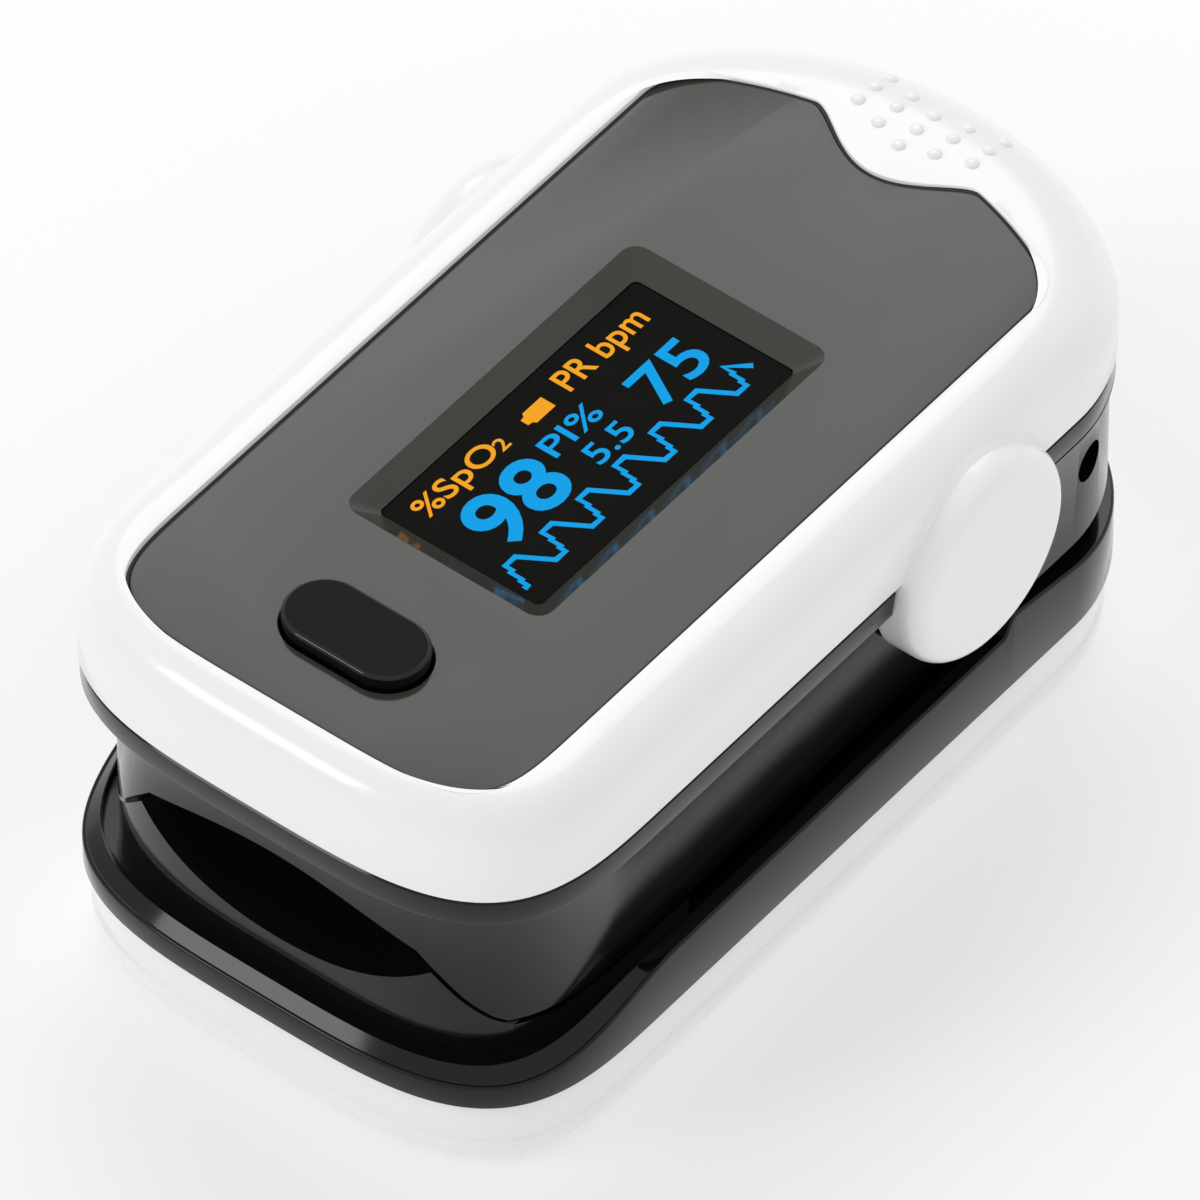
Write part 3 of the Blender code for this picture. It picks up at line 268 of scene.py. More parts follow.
COVER_TOP_Z = node_box("bottom_cover")[1].z
TRAY_INSET = 0.37
TRAY_WALL = 1.3
TRAY_FLOOR = 1.05
TRAY_ROUND = 2.2
TRAY_EDGE = 0.15
GROOVE_Z = 2.65
GROOVE_HALF = 0.1
GROOVE_DEPTH = 0.05
inner_wall = TRAY_INSET + TRAY_WALL
tray_levels = (
    rounding(TRAY_INSET + TRAY_ROUND, TRAY_ROUND, TRAY_ROUND, -90, 0, 10)
    + [
        (TRAY_INSET, GROOVE_Z - GROOVE_HALF),
        (TRAY_INSET + GROOVE_DEPTH, GROOVE_Z),
        (TRAY_INSET, GROOVE_Z + GROOVE_HALF),
    ]
    + rounding(TRAY_INSET + TRAY_EDGE, COVER_TOP_Z - TRAY_EDGE, TRAY_EDGE, 0, 90, 3)
    + [(inner_wall, COVER_TOP_Z), (inner_wall, TRAY_FLOOR)]
)
bottom_cover = body_shell("bottom_tray", tray_levels)

DOOR_TOP = 1.0
DOOR_HALF_WIDTH = 11.2
DOOR_STEP_Z = 0.55
DOOR_TONGUE = 0.6
DOOR_ROOM = 0.2
DOOR_FRONT_Y = node_box("battery_door")[0].y


def door_tool(clearance, top, front_y):
    """The door across the body: a plate with a tongue along each upper edge."""
    narrow = DOOR_HALF_WIDTH + clearance
    wide = narrow + DOOR_TONGUE
    step = DOOR_STEP_Z - clearance / 2
    half = [(narrow, -1), (narrow, step - 0.1), (wide, step), (wide, top)]
    outline = half + [(-x, z) for x, z in reversed(half)]
    return shell_piece("door_tool", [[(x, y, z) for x, z in outline] for y in (front_y, 60)])


combine(bottom_cover, "DIFFERENCE", door_tool(DOOR_ROOM, DOOR_TOP + DOOR_ROOM, DOOR_FRONT_Y - DOOR_ROOM))
BOSS_RADIUS = 1.5
BOSS_TOP_Z = 2.6
HEAD_ROOM_RADIUS = 1.4
HEAD_ROOM_TOP_Z = 1.4
SHANK_ROOM_RADIUS = 0.95
for number in range(1, 5):
    low, high = node_box(f"lower_screw_{number}")
    x, y = (low.x + high.x) / 2, (low.y + high.y) / 2
    boss = rod_tool(BOSS_RADIUS, (x, y, 0.8), (x, y, BOSS_TOP_Z), segments=32)
    combine(bottom_cover, "UNION", boss)
    room = rod_tool(HEAD_ROOM_RADIUS, (x, y, -1), (x, y, HEAD_ROOM_TOP_Z), segments=40)
    hole = rod_tool(SHANK_ROOM_RADIUS, (x, y, 1), (x, y, 4), segments=24)
    combine(bottom_cover, "DIFFERENCE", room, hole)
finish(bottom_cover, "lower", WHITE_ABS, ["bottom_cover"])

# ---------------------------------------------------------------- battery door
# A flat white plate that slides off to the rear, in the same ABS as the tray,
# with four finger grooves near its free end.

battery_door = body_shell("door_plate", tray_levels)
combine(battery_door, "INTERSECT", door_tool(0.0, DOOR_TOP, DOOR_FRONT_Y))
FINGER_GROOVES_Y = (14.0, 15.6, 17.2, 18.8)
FINGER_GROOVE_RADIUS = 0.4
FINGER_GROOVE_HALF = 5.0
for y in FINGER_GROOVES_Y:
    ends = [(x, y, -0.05) for x in (-FINGER_GROOVE_HALF, FINGER_GROOVE_HALF)]
    combine(battery_door, "DIFFERENCE", rod_tool(FINGER_GROOVE_RADIUS, *ends, axis="X", segments=24))
finish(battery_door, "door", WHITE_ABS, ["battery_door"])

# ---------------------------------------------------------------- lower case
# The glossy black moulding over the cells. A rounded rim runs round the front
# and sides with a sunken ledge inside it, and rises behind the hinge. The core
# carries the finger's trough, its stop, and the two arms that hold the axle.

BLACK_ABS = plastic(
    "black_abs", (0.003, 0.0032, 0.0035), 0.1, grain=0.04, grain_scale=1200, mottle=0.1, spread=0.03, specular=0.3
)

BAND_Z = COVER_TOP_Z + 0.15
LEDGE_Z = 8.95
LEDGE_FRONT_Z = 8.0
RIM_Z = 9.9
RIM_FRONT_Z = 7.3
RIM_ROUND = 0.2
BAND_EDGE = 0.15
BAND_WALL = 1.5
HINGE_Y = (node_box("hinge_axle")[0].y + node_box("hinge_axle")[1].y) / 2
HINGE_Z = (node_box("hinge_axle")[0].z + node_box("hinge_axle")[1].z) / 2
RISER_Z = 11.2
RISER_START_Y = 12.0
RISER_END_Y = 12.9
RISER_SLOPE_Y = 12.5
RISER_SLOPE = math.tan(math.radians(8.0))
RIM_DIP_Y = (-28.5, -15.5)
LEDGE_DIP_Y = (-29.5, -19)


def eased(value, start, end):
    """0 up to start, 1 from end on, and smooth between them."""
    part = min(1.0, max(0.0, (value - start) / (end - start)))
    return part * part * (3 - 2 * part)


def rim_z(y):
    """Height of the lower case's edge: a dip under the mouth, level sides, and a
    sloping riser behind."""
    riser = RISER_Z - 0.05 - max(0.0, y - RISER_SLOPE_Y) * RISER_SLOPE
    dip_end = RIM_FRONT_Z + (RIM_Z - RIM_FRONT_Z) * eased(y, *RIM_DIP_Y)
    return dip_end + (riser - RIM_Z) * eased(y, RISER_START_Y, RISER_END_Y)


def crest_z(y):
    """The rim slopes up to here from its edge where it dips."""
    if y > 0:
        return rim_z(y)
    return max(rim_z(y), LEDGE_FRONT_Z + (RIM_Z - LEDGE_FRONT_Z) * eased(y, *LEDGE_DIP_Y))


def ledge_z(y):
    return LEDGE_FRONT_Z + (LEDGE_Z - LEDGE_FRONT_Z) * eased(y, *LEDGE_DIP_Y)


def in_from_rim(shift, drop):
    """A level on the rim, in by shift and down by drop."""
    return shift, lambda y: rim_z(y) - drop


def ledge_inset(y):
    """How far in the sunken ledge starts: a narrow rim in front, a wide one behind."""
    return 0.98 + 1.9 * eased(y, RISER_START_Y, RISER_END_Y)


rim_levels = [in_from_rim(inset, -height) for inset, height in rounding(RIM_ROUND, -RIM_ROUND, RIM_ROUND, 0, 90, 8)]
band = body_shell(
    "lower_moulding",
    [(BAND_WALL, 7.2), (BAND_WALL, BAND_Z)]
    + rounding(BAND_EDGE, BAND_Z + BAND_EDGE, BAND_EDGE, -90, 0, 3)
    + rim_levels
    + [
        (lambda y: ledge_inset(y) - 0.14, lambda y: crest_z(y) - 0.01),
        (lambda y: ledge_inset(y) - 0.05, lambda y: crest_z(y) - 0.015),
        (ledge_inset, lambda y: crest_z(y) - 0.02 - 0.12 * (crest_z(y) - ledge_z(y))),
        (ledge_inset, lambda y: ledge_z(y) - 0.03 + 0.14 * (crest_z(y) - ledge_z(y))),
        (lambda y: ledge_inset(y) + 0.05, lambda y: ledge_z(y) - 0.035 + 0.04 * (crest_z(y) - ledge_z(y))),
        (lambda y: ledge_inset(y) + 0.16, lambda y: ledge_z(y) - 0.04),
        (lambda y: ledge_inset(y) + 0.98, lambda y: ledge_z(y) - 0.05),
        (lambda y: ledge_inset(y) + 1.07, 7.6),
    ],
)

CORE_TOP = 14.6
CORE_FRONT_Y = -26.5
CORE_REAR_Y = 24.1
CORE_STEP_Y = 16.0
CORE_HALF_WIDTH = 12.4
CORE_INSET = 3.2
DECK_RADIUS = 16.45
TROUGH_Z = 28.2
LIP_RADIUS = 18.0
FLARE_Y = -25.0
STOP_Y = 7.5


def box_tool(x_range, y_range, z_range):
    bm = bmesh.new()
    corners = bmesh.ops.create_cube(bm, size=1.0)["verts"]
    for corner in corners:
        corner.co = [pair[0] if side < 0 else pair[1] for side, pair in zip(corner.co, (x_range, y_range, z_range))]
    return piece_from(bm, "box_tool")


def slab_tool(outline, start, end, axis):
    """A flat outline drawn out along X or Y."""
    places = {"X": lambda a, b, c: (c, a, b), "Y": lambda a, b, c: (a, c, b)}[axis]
    return shell_piece("slab_tool", [[places(a, b, c) for a, b in outline] for c in (start, end)])


def mirrored(half):
    return half + [(-x, z) for x, z in reversed(half)]


foot = BAND_Z + 0.1
core_half = [(CORE_HALF_WIDTH, foot), (CORE_HALF_WIDTH, CORE_TOP - 1), (CORE_HALF_WIDTH - 1, CORE_TOP)]
core = slab_tool(mirrored(core_half), CORE_FRONT_Y, CORE_STEP_Y, "Y")
combine(core, "INTERSECT", body_shell("core_bounds", [(CORE_INSET, 0), (CORE_INSET, 40)]))
rear_half = [(12.3, foot + 0.05), (12.3, 8.0), (9.3, 12.0), (8.0, 12.75)]
rear_core = slab_tool(mirrored(rear_half), CORE_STEP_Y - 1, CORE_REAR_Y, "Y")
lip = body_shell("lip", [(1.72, 7.4), (1.72, 16)])
lip_half = [(13.4, 0), (13.4, 9.9), (12.5, 10.62), (11.35, 11.8), (10.05, 13.3), (8.6, 14.9), (7.0, 15.4)]
combine(lip, "INTERSECT", slab_tool(mirrored(lip_half), -40, CORE_FRONT_Y + 2, "Y"))
low_lip = body_shell("low_lip", [(1.75, 7.45), (1.75, 9.86)])
combine(low_lip, "INTERSECT", box_tool((-20, 20), (-40, -13), (0, 20)))
ARM_RADIUS = 2.2
ARM_X = (10.6, 12.2)
turns = [math.radians(180 * i / 24) for i in range(25)]
outline = [(HINGE_Y + ARM_RADIUS * math.cos(t), HINGE_Z + ARM_RADIUS * math.sin(t)) for t in turns]
outline += [(HINGE_Y - ARM_RADIUS, 13), (HINGE_Y + ARM_RADIUS, 13)]
arms = [slab_tool(outline, side * ARM_X[0], side * ARM_X[1], "X") for side in (1, -1)]
combine(core, "UNION", rear_core, lip, low_lip, *arms)
trough = rod_tool(DECK_RADIUS, (0, FLARE_Y - 1, TROUGH_Z), (0, STOP_Y + 1.2, TROUGH_Z), "Y", segments=256)
flare = rod_tool(
    LIP_RADIUS, (0, -29.5, TROUGH_Z), (0, FLARE_Y, TROUGH_Z), "Y", end_radius=DECK_RADIUS + 0.01, segments=256
)
combine(core, "DIFFERENCE", trough, flare)
CELL_X = 5.5
CELL_Z = 6.45
BAY_RADIUS = 5.5
BAY_Y = (-24.9, 22.9)
BAY_X = (-CELL_X - BAY_RADIUS, CELL_X + BAY_RADIUS)
AXLE_ROOM_RADIUS = 1.2
CHIP_OPENING = ((-2.4, 2.4), (-10.4, -5.6))
for x in (CELL_X, -CELL_X):
    bay = rod_tool(BAY_RADIUS, (x, BAY_Y[0], CELL_Z), (x, BAY_Y[1], CELL_Z), "Y", segments=64)
    combine(core, "DIFFERENCE", bay)
combine(
    core,
    "DIFFERENCE",
    box_tool(BAY_X, BAY_Y, (0, CELL_Z)),
    box_tool(*CHIP_OPENING, (CELL_Z, 13)),
    rod_tool(AXLE_ROOM_RADIUS, (-14, HINGE_Y, HINGE_Z), (14, HINGE_Y, HINGE_Z), "X"),
)
combine(core, "UNION", box_tool((-6, 6), (STOP_Y - 0.6, STOP_Y + 0.6), (12.0, 17.0)))
combine(band, "DIFFERENCE", box_tool(BAY_X, BAY_Y, (0, CELL_Z + 3)))
combine(band, "UNION", core)
finish(band, "lower", BLACK_ABS, ["lower_case"], crease_deg=28)

# ---------------------------------------------------------------- lower pad
# A thin silicone sheet bonded into the trough, with a square opening for the
# sensor's window.

SILICONE = plastic("silicone_rubber", (0.012, 0.012, 0.013), 0.55, grain=0.4, grain_scale=6000, mottle=0.2)

PAD_THICKNESS = 0.6
WINDOW_OPENING = ((-2.9, 2.9), (-10.9, -5.1))
low, high = node_box("lower_pad")
pad_bottom = DECK_RADIUS - 0.2
reach = math.asin(high.x / pad_bottom)
bm = bmesh.new()
bmesh.ops.create_grid(bm, x_segments=1, y_segments=1, size=0.5)
for corner in bm.verts:
    rise = PAD_THICKNESS if corner.co.y > 0 else 0
    corner.co = (0, low.y if corner.co.x < 0 else high.y, TROUGH_Z - pad_bottom + rise)
bmesh.ops.rotate(bm, verts=bm.verts, cent=(0, 0, TROUGH_Z), matrix=Matrix.Rotation(-reach, 3, "Y"))
bmesh.ops.spin(
    bm, geom=bm.verts[:] + bm.edges[:] + bm.faces[:], cent=(0, 0, TROUGH_Z), axis=(0, 1, 0), angle=2 * reach, steps=48
)
bmesh.ops.recalc_face_normals(bm, faces=bm.faces)
lower_pad = piece_from(bm, "finger_bed")
combine(lower_pad, "DIFFERENCE", box_tool(*WINDOW_OPENING, (10, 16)))
finish(lower_pad, "lower", SILICONE, ["lower_pad"])

# ---------------------------------------------------------------- upper case
# The glossy black moulding under the top cover. Its flange shows as a thin
# line under the white edge, its skirt closes over the lower half, and an arch
# in front lets the finger in. A lanyard hole goes through its right wall.

FLANGE_TOP = node_box("upper_case")[1].z
FLANGE_BOTTOM = 19.9
SKIRT_INSET = 1.7
SKIRT_FRONT_Z = 10.1
SKIRT_REAR_Z = 11.42
EAR_Y = 8.95
EAR_Z = 19.5
EAR_RADIUS = 6.5
EAR_ROOM = 0.3
FLOAT_TRAVEL = 3.0
REAR_SKIRT_INSET = 0.4
SKIRT_WALL = 1.2


def skirt_inset(y):
    """The skirt's outer side, which is flush with the body behind the ears."""
    return SKIRT_INSET + (REAR_SKIRT_INSET - SKIRT_INSET) * eased(y, 11.2, 12.2)


def skirt_z(y):
    return SKIRT_FRONT_Z + (SKIRT_REAR_Z - SKIRT_FRONT_Z) * eased(y, 11.2, 12.0)


def wall_inset(y):
    """The skirt's inner side, which makes room behind for the lower case's core."""
    return SKIRT_INSET + SKIRT_WALL * (1 - eased(y, CORE_STEP_Y - 1, CORE_STEP_Y))


upper_case = body_shell(
    "upper_moulding",
    [
        (wall_inset, 20.3),
        (wall_inset, lambda y: skirt_z(y) + 0.1),
        (lambda y: skirt_inset(y) + 0.45, skirt_z),
        (lambda y: skirt_inset(y) + 0.3, skirt_z),
        (lambda y: skirt_inset(y) + 0.1, lambda y: skirt_z(y) + 0.07),
        (skirt_inset, lambda y: skirt_z(y) + 0.25),
        (skirt_inset, FLANGE_BOTTOM - 0.3),
        (lambda y: skirt_inset(y) - 0.09, FLANGE_BOTTOM - 0.09),
        (lambda y: skirt_inset(y) - 0.3, FLANGE_BOTTOM),
        (0.25, FLANGE_BOTTOM),
        (0.14, FLANGE_BOTTOM + 0.04),
        (0.1, FLANGE_BOTTOM + 0.15),
        (0.1, FLANGE_TOP - 0.1),
        (0.2, FLANGE_TOP),
        (2.1, FLANGE_TOP),
        (2.1, 21.1),
    ],
)
MOUTH_TOP = 16.85
MOUTH_CORNER = (9.0, 15.0)
MOUTH_FOOT = [(10.3, 13.55), (11.55, 12.0), (12.65, 10.8), (13.5, 10.1), (14.2, 9.0)]
rise = MOUTH_TOP - MOUTH_CORNER[1]
arch_radius = (MOUTH_CORNER[0] ** 2 + rise**2) / (2 * rise)
arch_reach = math.asin(MOUTH_CORNER[0] / arch_radius)
arch = []
for step in range(49):
    turn = arch_reach * (1 - step / 24)
    arch.append((arch_radius * math.sin(turn), MOUTH_TOP - arch_radius * (1 - math.cos(turn))))
MOUTH_REAR_Y = -22.75
foot = MOUTH_FOOT[::-1]
left_foot = [(-x, z) for x, z in MOUTH_FOOT]
combine(upper_case, "DIFFERENCE", slab_tool(left_foot + foot + arch, -40, MOUTH_REAR_Y, "Y"))
for side in (1, -1):
    near, far = (side * 15.15, EAR_Y, EAR_Z), (side * 20, EAR_Y, EAR_Z)
    relief = rod_tool(EAR_RADIUS + EAR_ROOM, near, far, "X", segments=128)
    slot_y = (HINGE_Y - AXLE_ROOM_RADIUS, HINGE_Y + AXLE_ROOM_RADIUS)
    slot_z = (HINGE_Z - AXLE_ROOM_RADIUS - FLOAT_TRAVEL, HINGE_Z + AXLE_ROOM_RADIUS)
    slot = box_tool(sorted((side * 12.5, side * 15.5)), slot_y, slot_z)
    combine(upper_case, "DIFFERENCE", relief, slot)
LANYARD_Y = 19.95
LANYARD_Z = 16.8
LANYARD_RADIUS = 1.2
RIBBON_OPENING = ((-3.3, 3.3), (19.75, 20.6))
combine(
    upper_case,
    "DIFFERENCE",
    rod_tool(LANYARD_RADIUS, (12, LANYARD_Y, LANYARD_Z), (18, LANYARD_Y, LANYARD_Z), "X"),
    box_tool(*CHIP_OPENING, (19, 23)),
    box_tool(*RIBBON_OPENING, (19, 23)),
)
finish(upper_case, "upper", BLACK_ABS, ["upper_case"], crease_deg=28)

# ---------------------------------------------------------------- upper pad
# A silicone block under the upper floor with a round channel along it, open
# in the middle for the emitter's window.

CHANNEL_RADIUS = 20.0
CHANNEL_TOP_Z = 17.6
low, high = node_box("upper_pad")
turns = [math.asin(high.x / CHANNEL_RADIUS) * (1 - step / 20) for step in range(41)]
channel = [(CHANNEL_RADIUS * math.sin(t), CHANNEL_TOP_Z - CHANNEL_RADIUS * (1 - math.cos(t))) for t in turns]
outline = channel + [(-high.x, high.z), (high.x, high.z)]
upper_pad = shell_piece("finger_roof", [[(x, y, z) for x, z in outline] for y in (low.y, high.y)])
combine(upper_pad, "DIFFERENCE", box_tool(*WINDOW_OPENING, (14, 22)))
finish(upper_pad, "upper", SILICONE, ["upper_pad"])

# ---------------------------------------------------------------- display
# An OLED module under a dark glass face: orange captions, blue readings and a
# blue pulse wave that give off light. The frame round the picture is black.

DISPLAY_BLACK = plastic(
    "display_black", (0.010, 0.010, 0.0088), 0.3, grain=0.3, grain_scale=5000, mottle=0.15, specular=0.0
)
low, high = node_box("oled_display")
PICTURE_Z = high.z
DISPLAY_Y = (low.y + high.y) / 2
PICTURE_HALF = (5.43, 10.87)
PICTURE_CORNER = 0.4
bm = bmesh.new()
bmesh.ops.create_cube(bm, size=1.0)
for corner in bm.verts:
    corner.co = [pair[0] if side < 0 else pair[1] for side, pair in zip(corner.co, zip(low, high))]
bmesh.ops.bevel(bm, geom=bm.edges[:], offset=0.15, segments=2, profile=0.5, affect="EDGES", material=-1)
finish(piece_from(bm, "display_module"), "upper", DISPLAY_BLACK, ["oled_display"])

GLASS_Z = PICTURE_Z + 0.3


def window_plan(half_x, half_y, corner, steps=8):
    """A rectangle round the display with rounded corners."""
    points = []
    for quarter in range(4):
        centre_x = (half_x - corner) * (1 if quarter in (0, 3) else -1)
        centre_y = (half_y - corner) * (1 if quarter in (0, 1) else -1)
        for step in range(steps + 1):
            turn = math.radians(90 * quarter + 90 * step / steps)
            points.append((centre_x + corner * math.cos(turn), DISPLAY_Y + centre_y + corner * math.sin(turn)))
    return points


display_face = shell_piece(
    "display_face",
    [
        [(x, y, z) for x, y in window_plan(PICTURE_HALF[0] - inset, PICTURE_HALF[1] - inset, PICTURE_CORNER)]
        for inset, z in ((0.03, PICTURE_Z + 0.02), (0.03, GLASS_Z - 0.04), (0.07, GLASS_Z))
    ],
)
finish(display_face, "upper", DISPLAY_BLACK)


def glowing(name, colour, strength):
    """Lit display segments, with the fine grid of a dot matrix between them."""
    made = bpy.data.materials.new(name)
    made.use_nodes = True
    nodes, links = made.node_tree.nodes, made.node_tree.links
    shader = nodes["Principled BSDF"]
    shader.inputs["Base Color"].default_value = (0.01, 0.01, 0.01, 1)
    shader.inputs["Roughness"].default_value = 0.6
    shader.inputs["Specular IOR Level"].default_value = 0.0
    shader.inputs["Emission Strength"].default_value = strength
    place = nodes.new("ShaderNodeTexCoord")
    grid = nodes.new("ShaderNodeTexVoronoi")
    grid.distance = "CHEBYCHEV"
    grid.inputs["Scale"].default_value = 6200
    grid.inputs["Randomness"].default_value = 0.0
    links.new(place.outputs["Object"], grid.inputs["Vector"])
    tint = nodes.new("ShaderNodeMix")
    tint.data_type = "RGBA"
    tint.inputs["A"].default_value = (*colour, 1)
    tint.inputs["B"].default_value = (*[c * 0.9 for c in colour], 1)
    links.new(grid.outputs["Distance"], tint.inputs["Factor"])
    links.new(tint.outputs["Result"], shader.inputs["Emission Color"])
    return made


ORANGE = glowing("amber_segments", (0.94, 0.385, 0.012), 1.0)
BLUE = glowing("blue_segments", (0.0, 0.36, 0.83), 1.0)


def lit(name, mesh, material):
    """Lays a flat mesh on the picture as lit segments. Its x runs along the body
    from the picture's near edge, and its y down the picture towards +X."""
    bm = bmesh.new()
    bm.from_mesh(mesh)
    for corner in bm.verts:
        along, down, rise = corner.co
        corner.co = (down - PICTURE_HALF[0], DISPLAY_Y - PICTURE_HALF[1] + along, GLASS_Z + 0.012 + rise)
    bmesh.ops.recalc_face_normals(bm, faces=bm.faces)
    return finish(piece_from(bm, name), "upper", material)


SEGMENT_THICKNESS = 0.02


def flattened(curve):
    """A curve's or a text's mesh."""
    holder = bpy.data.objects.new(curve.name, curve)
    bpy.context.scene.collection.objects.link(holder)
    mesh = bpy.data.meshes.new_from_object(holder.evaluated_get(bpy.context.evaluated_depsgraph_get()))
    bpy.data.objects.remove(holder)
    return mesh


def caption(name, text, along, down, material, bold):
    """Characters that fill a box: along is its start and end, down its top and foot."""
    curve = bpy.data.curves.new(name, "FONT")
    curve.body = text
    curve.size = 10
    curve.offset = bold
    curve.resolution_u = 5
    mesh = flattened(curve)
    spans = [[f(v.co[axis] for v in mesh.vertices) for f in (min, max)] for axis in (0, 1)]
    for corner in mesh.vertices:
        part_x = (corner.co.x - spans[0][0]) / (spans[0][1] - spans[0][0])
        part_y = (corner.co.y - spans[1][0]) / (spans[1][1] - spans[1][0])
        corner.co = (along[0] + (along[1] - along[0]) * part_x, down[1] + (down[0] - down[1]) * part_y, 0)
    bm = bmesh.new()
    bm.from_mesh(mesh)
    bmesh.ops.remove_doubles(bm, verts=bm.verts, dist=0.001)
    bmesh.ops.solidify(bm, geom=bm.faces[:], thickness=SEGMENT_THICKNESS)
    bm.to_mesh(mesh)
    bm.free()
    return lit(name, mesh, material)


caption("reading_oxygen", "98", (2.1, 8.25), (3.2, 7.15), BLUE, 0.2)
caption("reading_pulse", "75", (15.3, 19.85), (4.2, 7.05), BLUE, 0.12)
caption("reading_index", "5.5", (10.0, 13.1), (5.55, 7.05), BLUE, 0.08)
caption("caption_index", "PI%", (8.95, 13.1), (3.4, 4.9), BLUE, 0.08)
caption("caption_oxygen", "%SpO", (1.3, 7.5), (0.95, 2.8), ORANGE, 0.1)
caption("caption_oxygen_foot", "2", (7.55, 8.3), (1.5, 2.4), ORANGE, 0.1)
caption("caption_pulse", "PR bpm", (13.2, 20.0), (0.95, 2.95), ORANGE, 0.1)

bm = bmesh.new()
outline = [(11.9, 1.45), (11.9, 2.45), (10.35, 2.45), (10.2, 2.25)]
outline += [(9.9, 2.2), (9.9, 1.7), (10.2, 1.65), (10.35, 1.45)]
draw_shell(bm, [[(x, y, z) for x, y in outline] for z in (0, SEGMENT_THICKNESS)])
mesh = bpy.data.meshes.new("battery_mark")
bm.to_mesh(mesh)
bm.free()
lit("battery_mark", mesh, ORANGE)

wave = bpy.data.curves.new("pulse_wave", "CURVE")
wave.dimensions = "3D"
wave.bevel_depth = 0.19
wave.bevel_resolution = 2
wave.use_fill_caps = True
beat = [(0, 7.6), (0.85, 7.6), (2.0, 9.4), (2.8, 9.42), (2.8, 9.0), (2.95, 9.0), (2.95, 8.3), (3.1, 8.3)]
points = [(0.55, 9.4), (0.85, 9.4), (0.85, 8.9), (1.0, 8.9), (1.0, 8.1), (1.2, 8.1)]
BEAT_LENGTH = 3.07
BEATS = 7
WAVE_END = 20.7
for number in range(BEATS):
    start = 1.2 + BEAT_LENGTH * number
    points += [(start + along, down) for along, down in beat if start + along < WAVE_END - 0.3]
points.append((WAVE_END, 8.8))
line = wave.splines.new("POLY")
line.points.add(len(points) - 1)
for point, (along, down) in zip(line.points, points):
    point.co = (along, down, 0, 1)
mesh = flattened(wave)
mesh.transform(Matrix.Diagonal((1, 1, 0.08, 1)))
lit("pulse_wave", mesh, BLUE)

# ---------------------------------------------------------------- power button
# A black key with a flat matt top and a polished side, standing a little proud
# of the panel.

KEY_GLOSS = plastic("key_gloss", (0.002, 0.002, 0.002), 0.08, mottle=0.1, spread=0.02, specular=0.4)
KEY_MATT = plastic("key_matt", (0.012, 0.012, 0.012), 0.6, grain=0.3, grain_scale=7000, mottle=0.1, specular=0.05)


def slot_plan(centre_y, width, length, steps=24):
    """A slot's outline across the body, round at both ends."""
    radius = length / 2
    run = width / 2 - radius
    turns = [math.radians(-90 + 180 * i / steps) for i in range(steps + 1)]
    right = [(run + radius * math.cos(t), centre_y + radius * math.sin(t)) for t in turns]
    return right + [(-x, 2 * centre_y - y) for x, y in right]


low, high = node_box("power_button")
BUTTON_Y = (low.y + high.y) / 2
KEY_FLANGE = 0.8
BUTTON_WIDTH = high.x * 2 - 2 * KEY_FLANGE
BUTTON_LENGTH = high.y - low.y - 2 * KEY_FLANGE
key_levels = [(-KEY_FLANGE, low.z + 0.05), (-KEY_FLANGE, low.z + 0.7), (0, low.z + 0.7)]
key_levels += [(0.03, high.z - 0.35)] + rounding(0.28, high.z - 0.25, 0.25, 10, 90, 8) + [(0.34, high.z)]
key = shell_piece(
    "key",
    [
        [(x, y, z) for x, y in slot_plan(BUTTON_Y, BUTTON_WIDTH - 2 * inset, BUTTON_LENGTH - 2 * inset)]
        for inset, z in key_levels
    ],
)
finish(key, "button", KEY_GLOSS, ["power_button"])
key.data.materials.append(KEY_MATT)
for face in key.data.polygons:
    face.material_index = 1 if face.normal.z > 0.98 else 0

# ---------------------------------------------------------------- top cover
# The glossy white upper shell. Its edge rounds over to a seat for the panel,
# rows of grip dots stand on its rear lip, and a round ear on each side hides
# the hinge.

COVER_BOTTOM_Z = 21.7
COVER_LIP_Z = 27.72
PANEL_HALF_WIDTH = 12.96
PANEL_FRONT_Y = -28.1
PANEL_REAR_Y = 24.28
PANEL_REAR_RADIUS = 23.7
NOTCH_DEPTH = 3.08
NOTCH_HALF_WIDTH = 5.6


def panel_plan(outset=0.0):
    """The face panel's outline: a squarish front, straight sides, and a rear arc
    with round corners and a smooth notch in its middle."""
    half = PANEL_HALF_WIDTH + outset
    front_reach = 9.5
    points = []
    steps = 72
    for step in range(steps + 1):
        turn = math.pi * (1 + step / steps)
        across = math.copysign(abs(math.cos(turn)) ** 0.55, math.cos(turn))
        along = -abs(math.sin(turn)) ** 0.55
        stretch = (abs(across) ** 5 + abs(along) ** 5) ** -0.2
        centre = PANEL_FRONT_Y + front_reach
        points.append((half * across * stretch, centre + (front_reach + outset) * along * stretch))
    arc_radius = PANEL_REAR_RADIUS + outset
    arc_y = PANEL_REAR_Y - PANEL_REAR_RADIUS
    corner = 3.5 + outset
    corner_x = PANEL_HALF_WIDTH - 3.5
    corner_y = arc_y + math.sqrt((arc_radius - corner) ** 2 - corner_x**2)
    meet = math.atan2(corner_y - arc_y, corner_x)
    corners = [
        (corner_x + corner * math.cos(meet * i / 14), corner_y + corner * math.sin(meet * i / 14)) for i in range(15)
    ]
    width = NOTCH_HALF_WIDTH - outset
    reach = corners[-1][0] - 0.4
    edge = []
    for step in range(81):
        x = reach * (1 - step / 40)
        depth = NOTCH_DEPTH * max(0.0, 1 - (x / width) ** 2) ** 1.5
        edge.append((x, arc_y + math.sqrt(arc_radius**2 - x**2) - depth))
    return points + corners + edge + [(-x, y) for x, y in reversed(corners)]


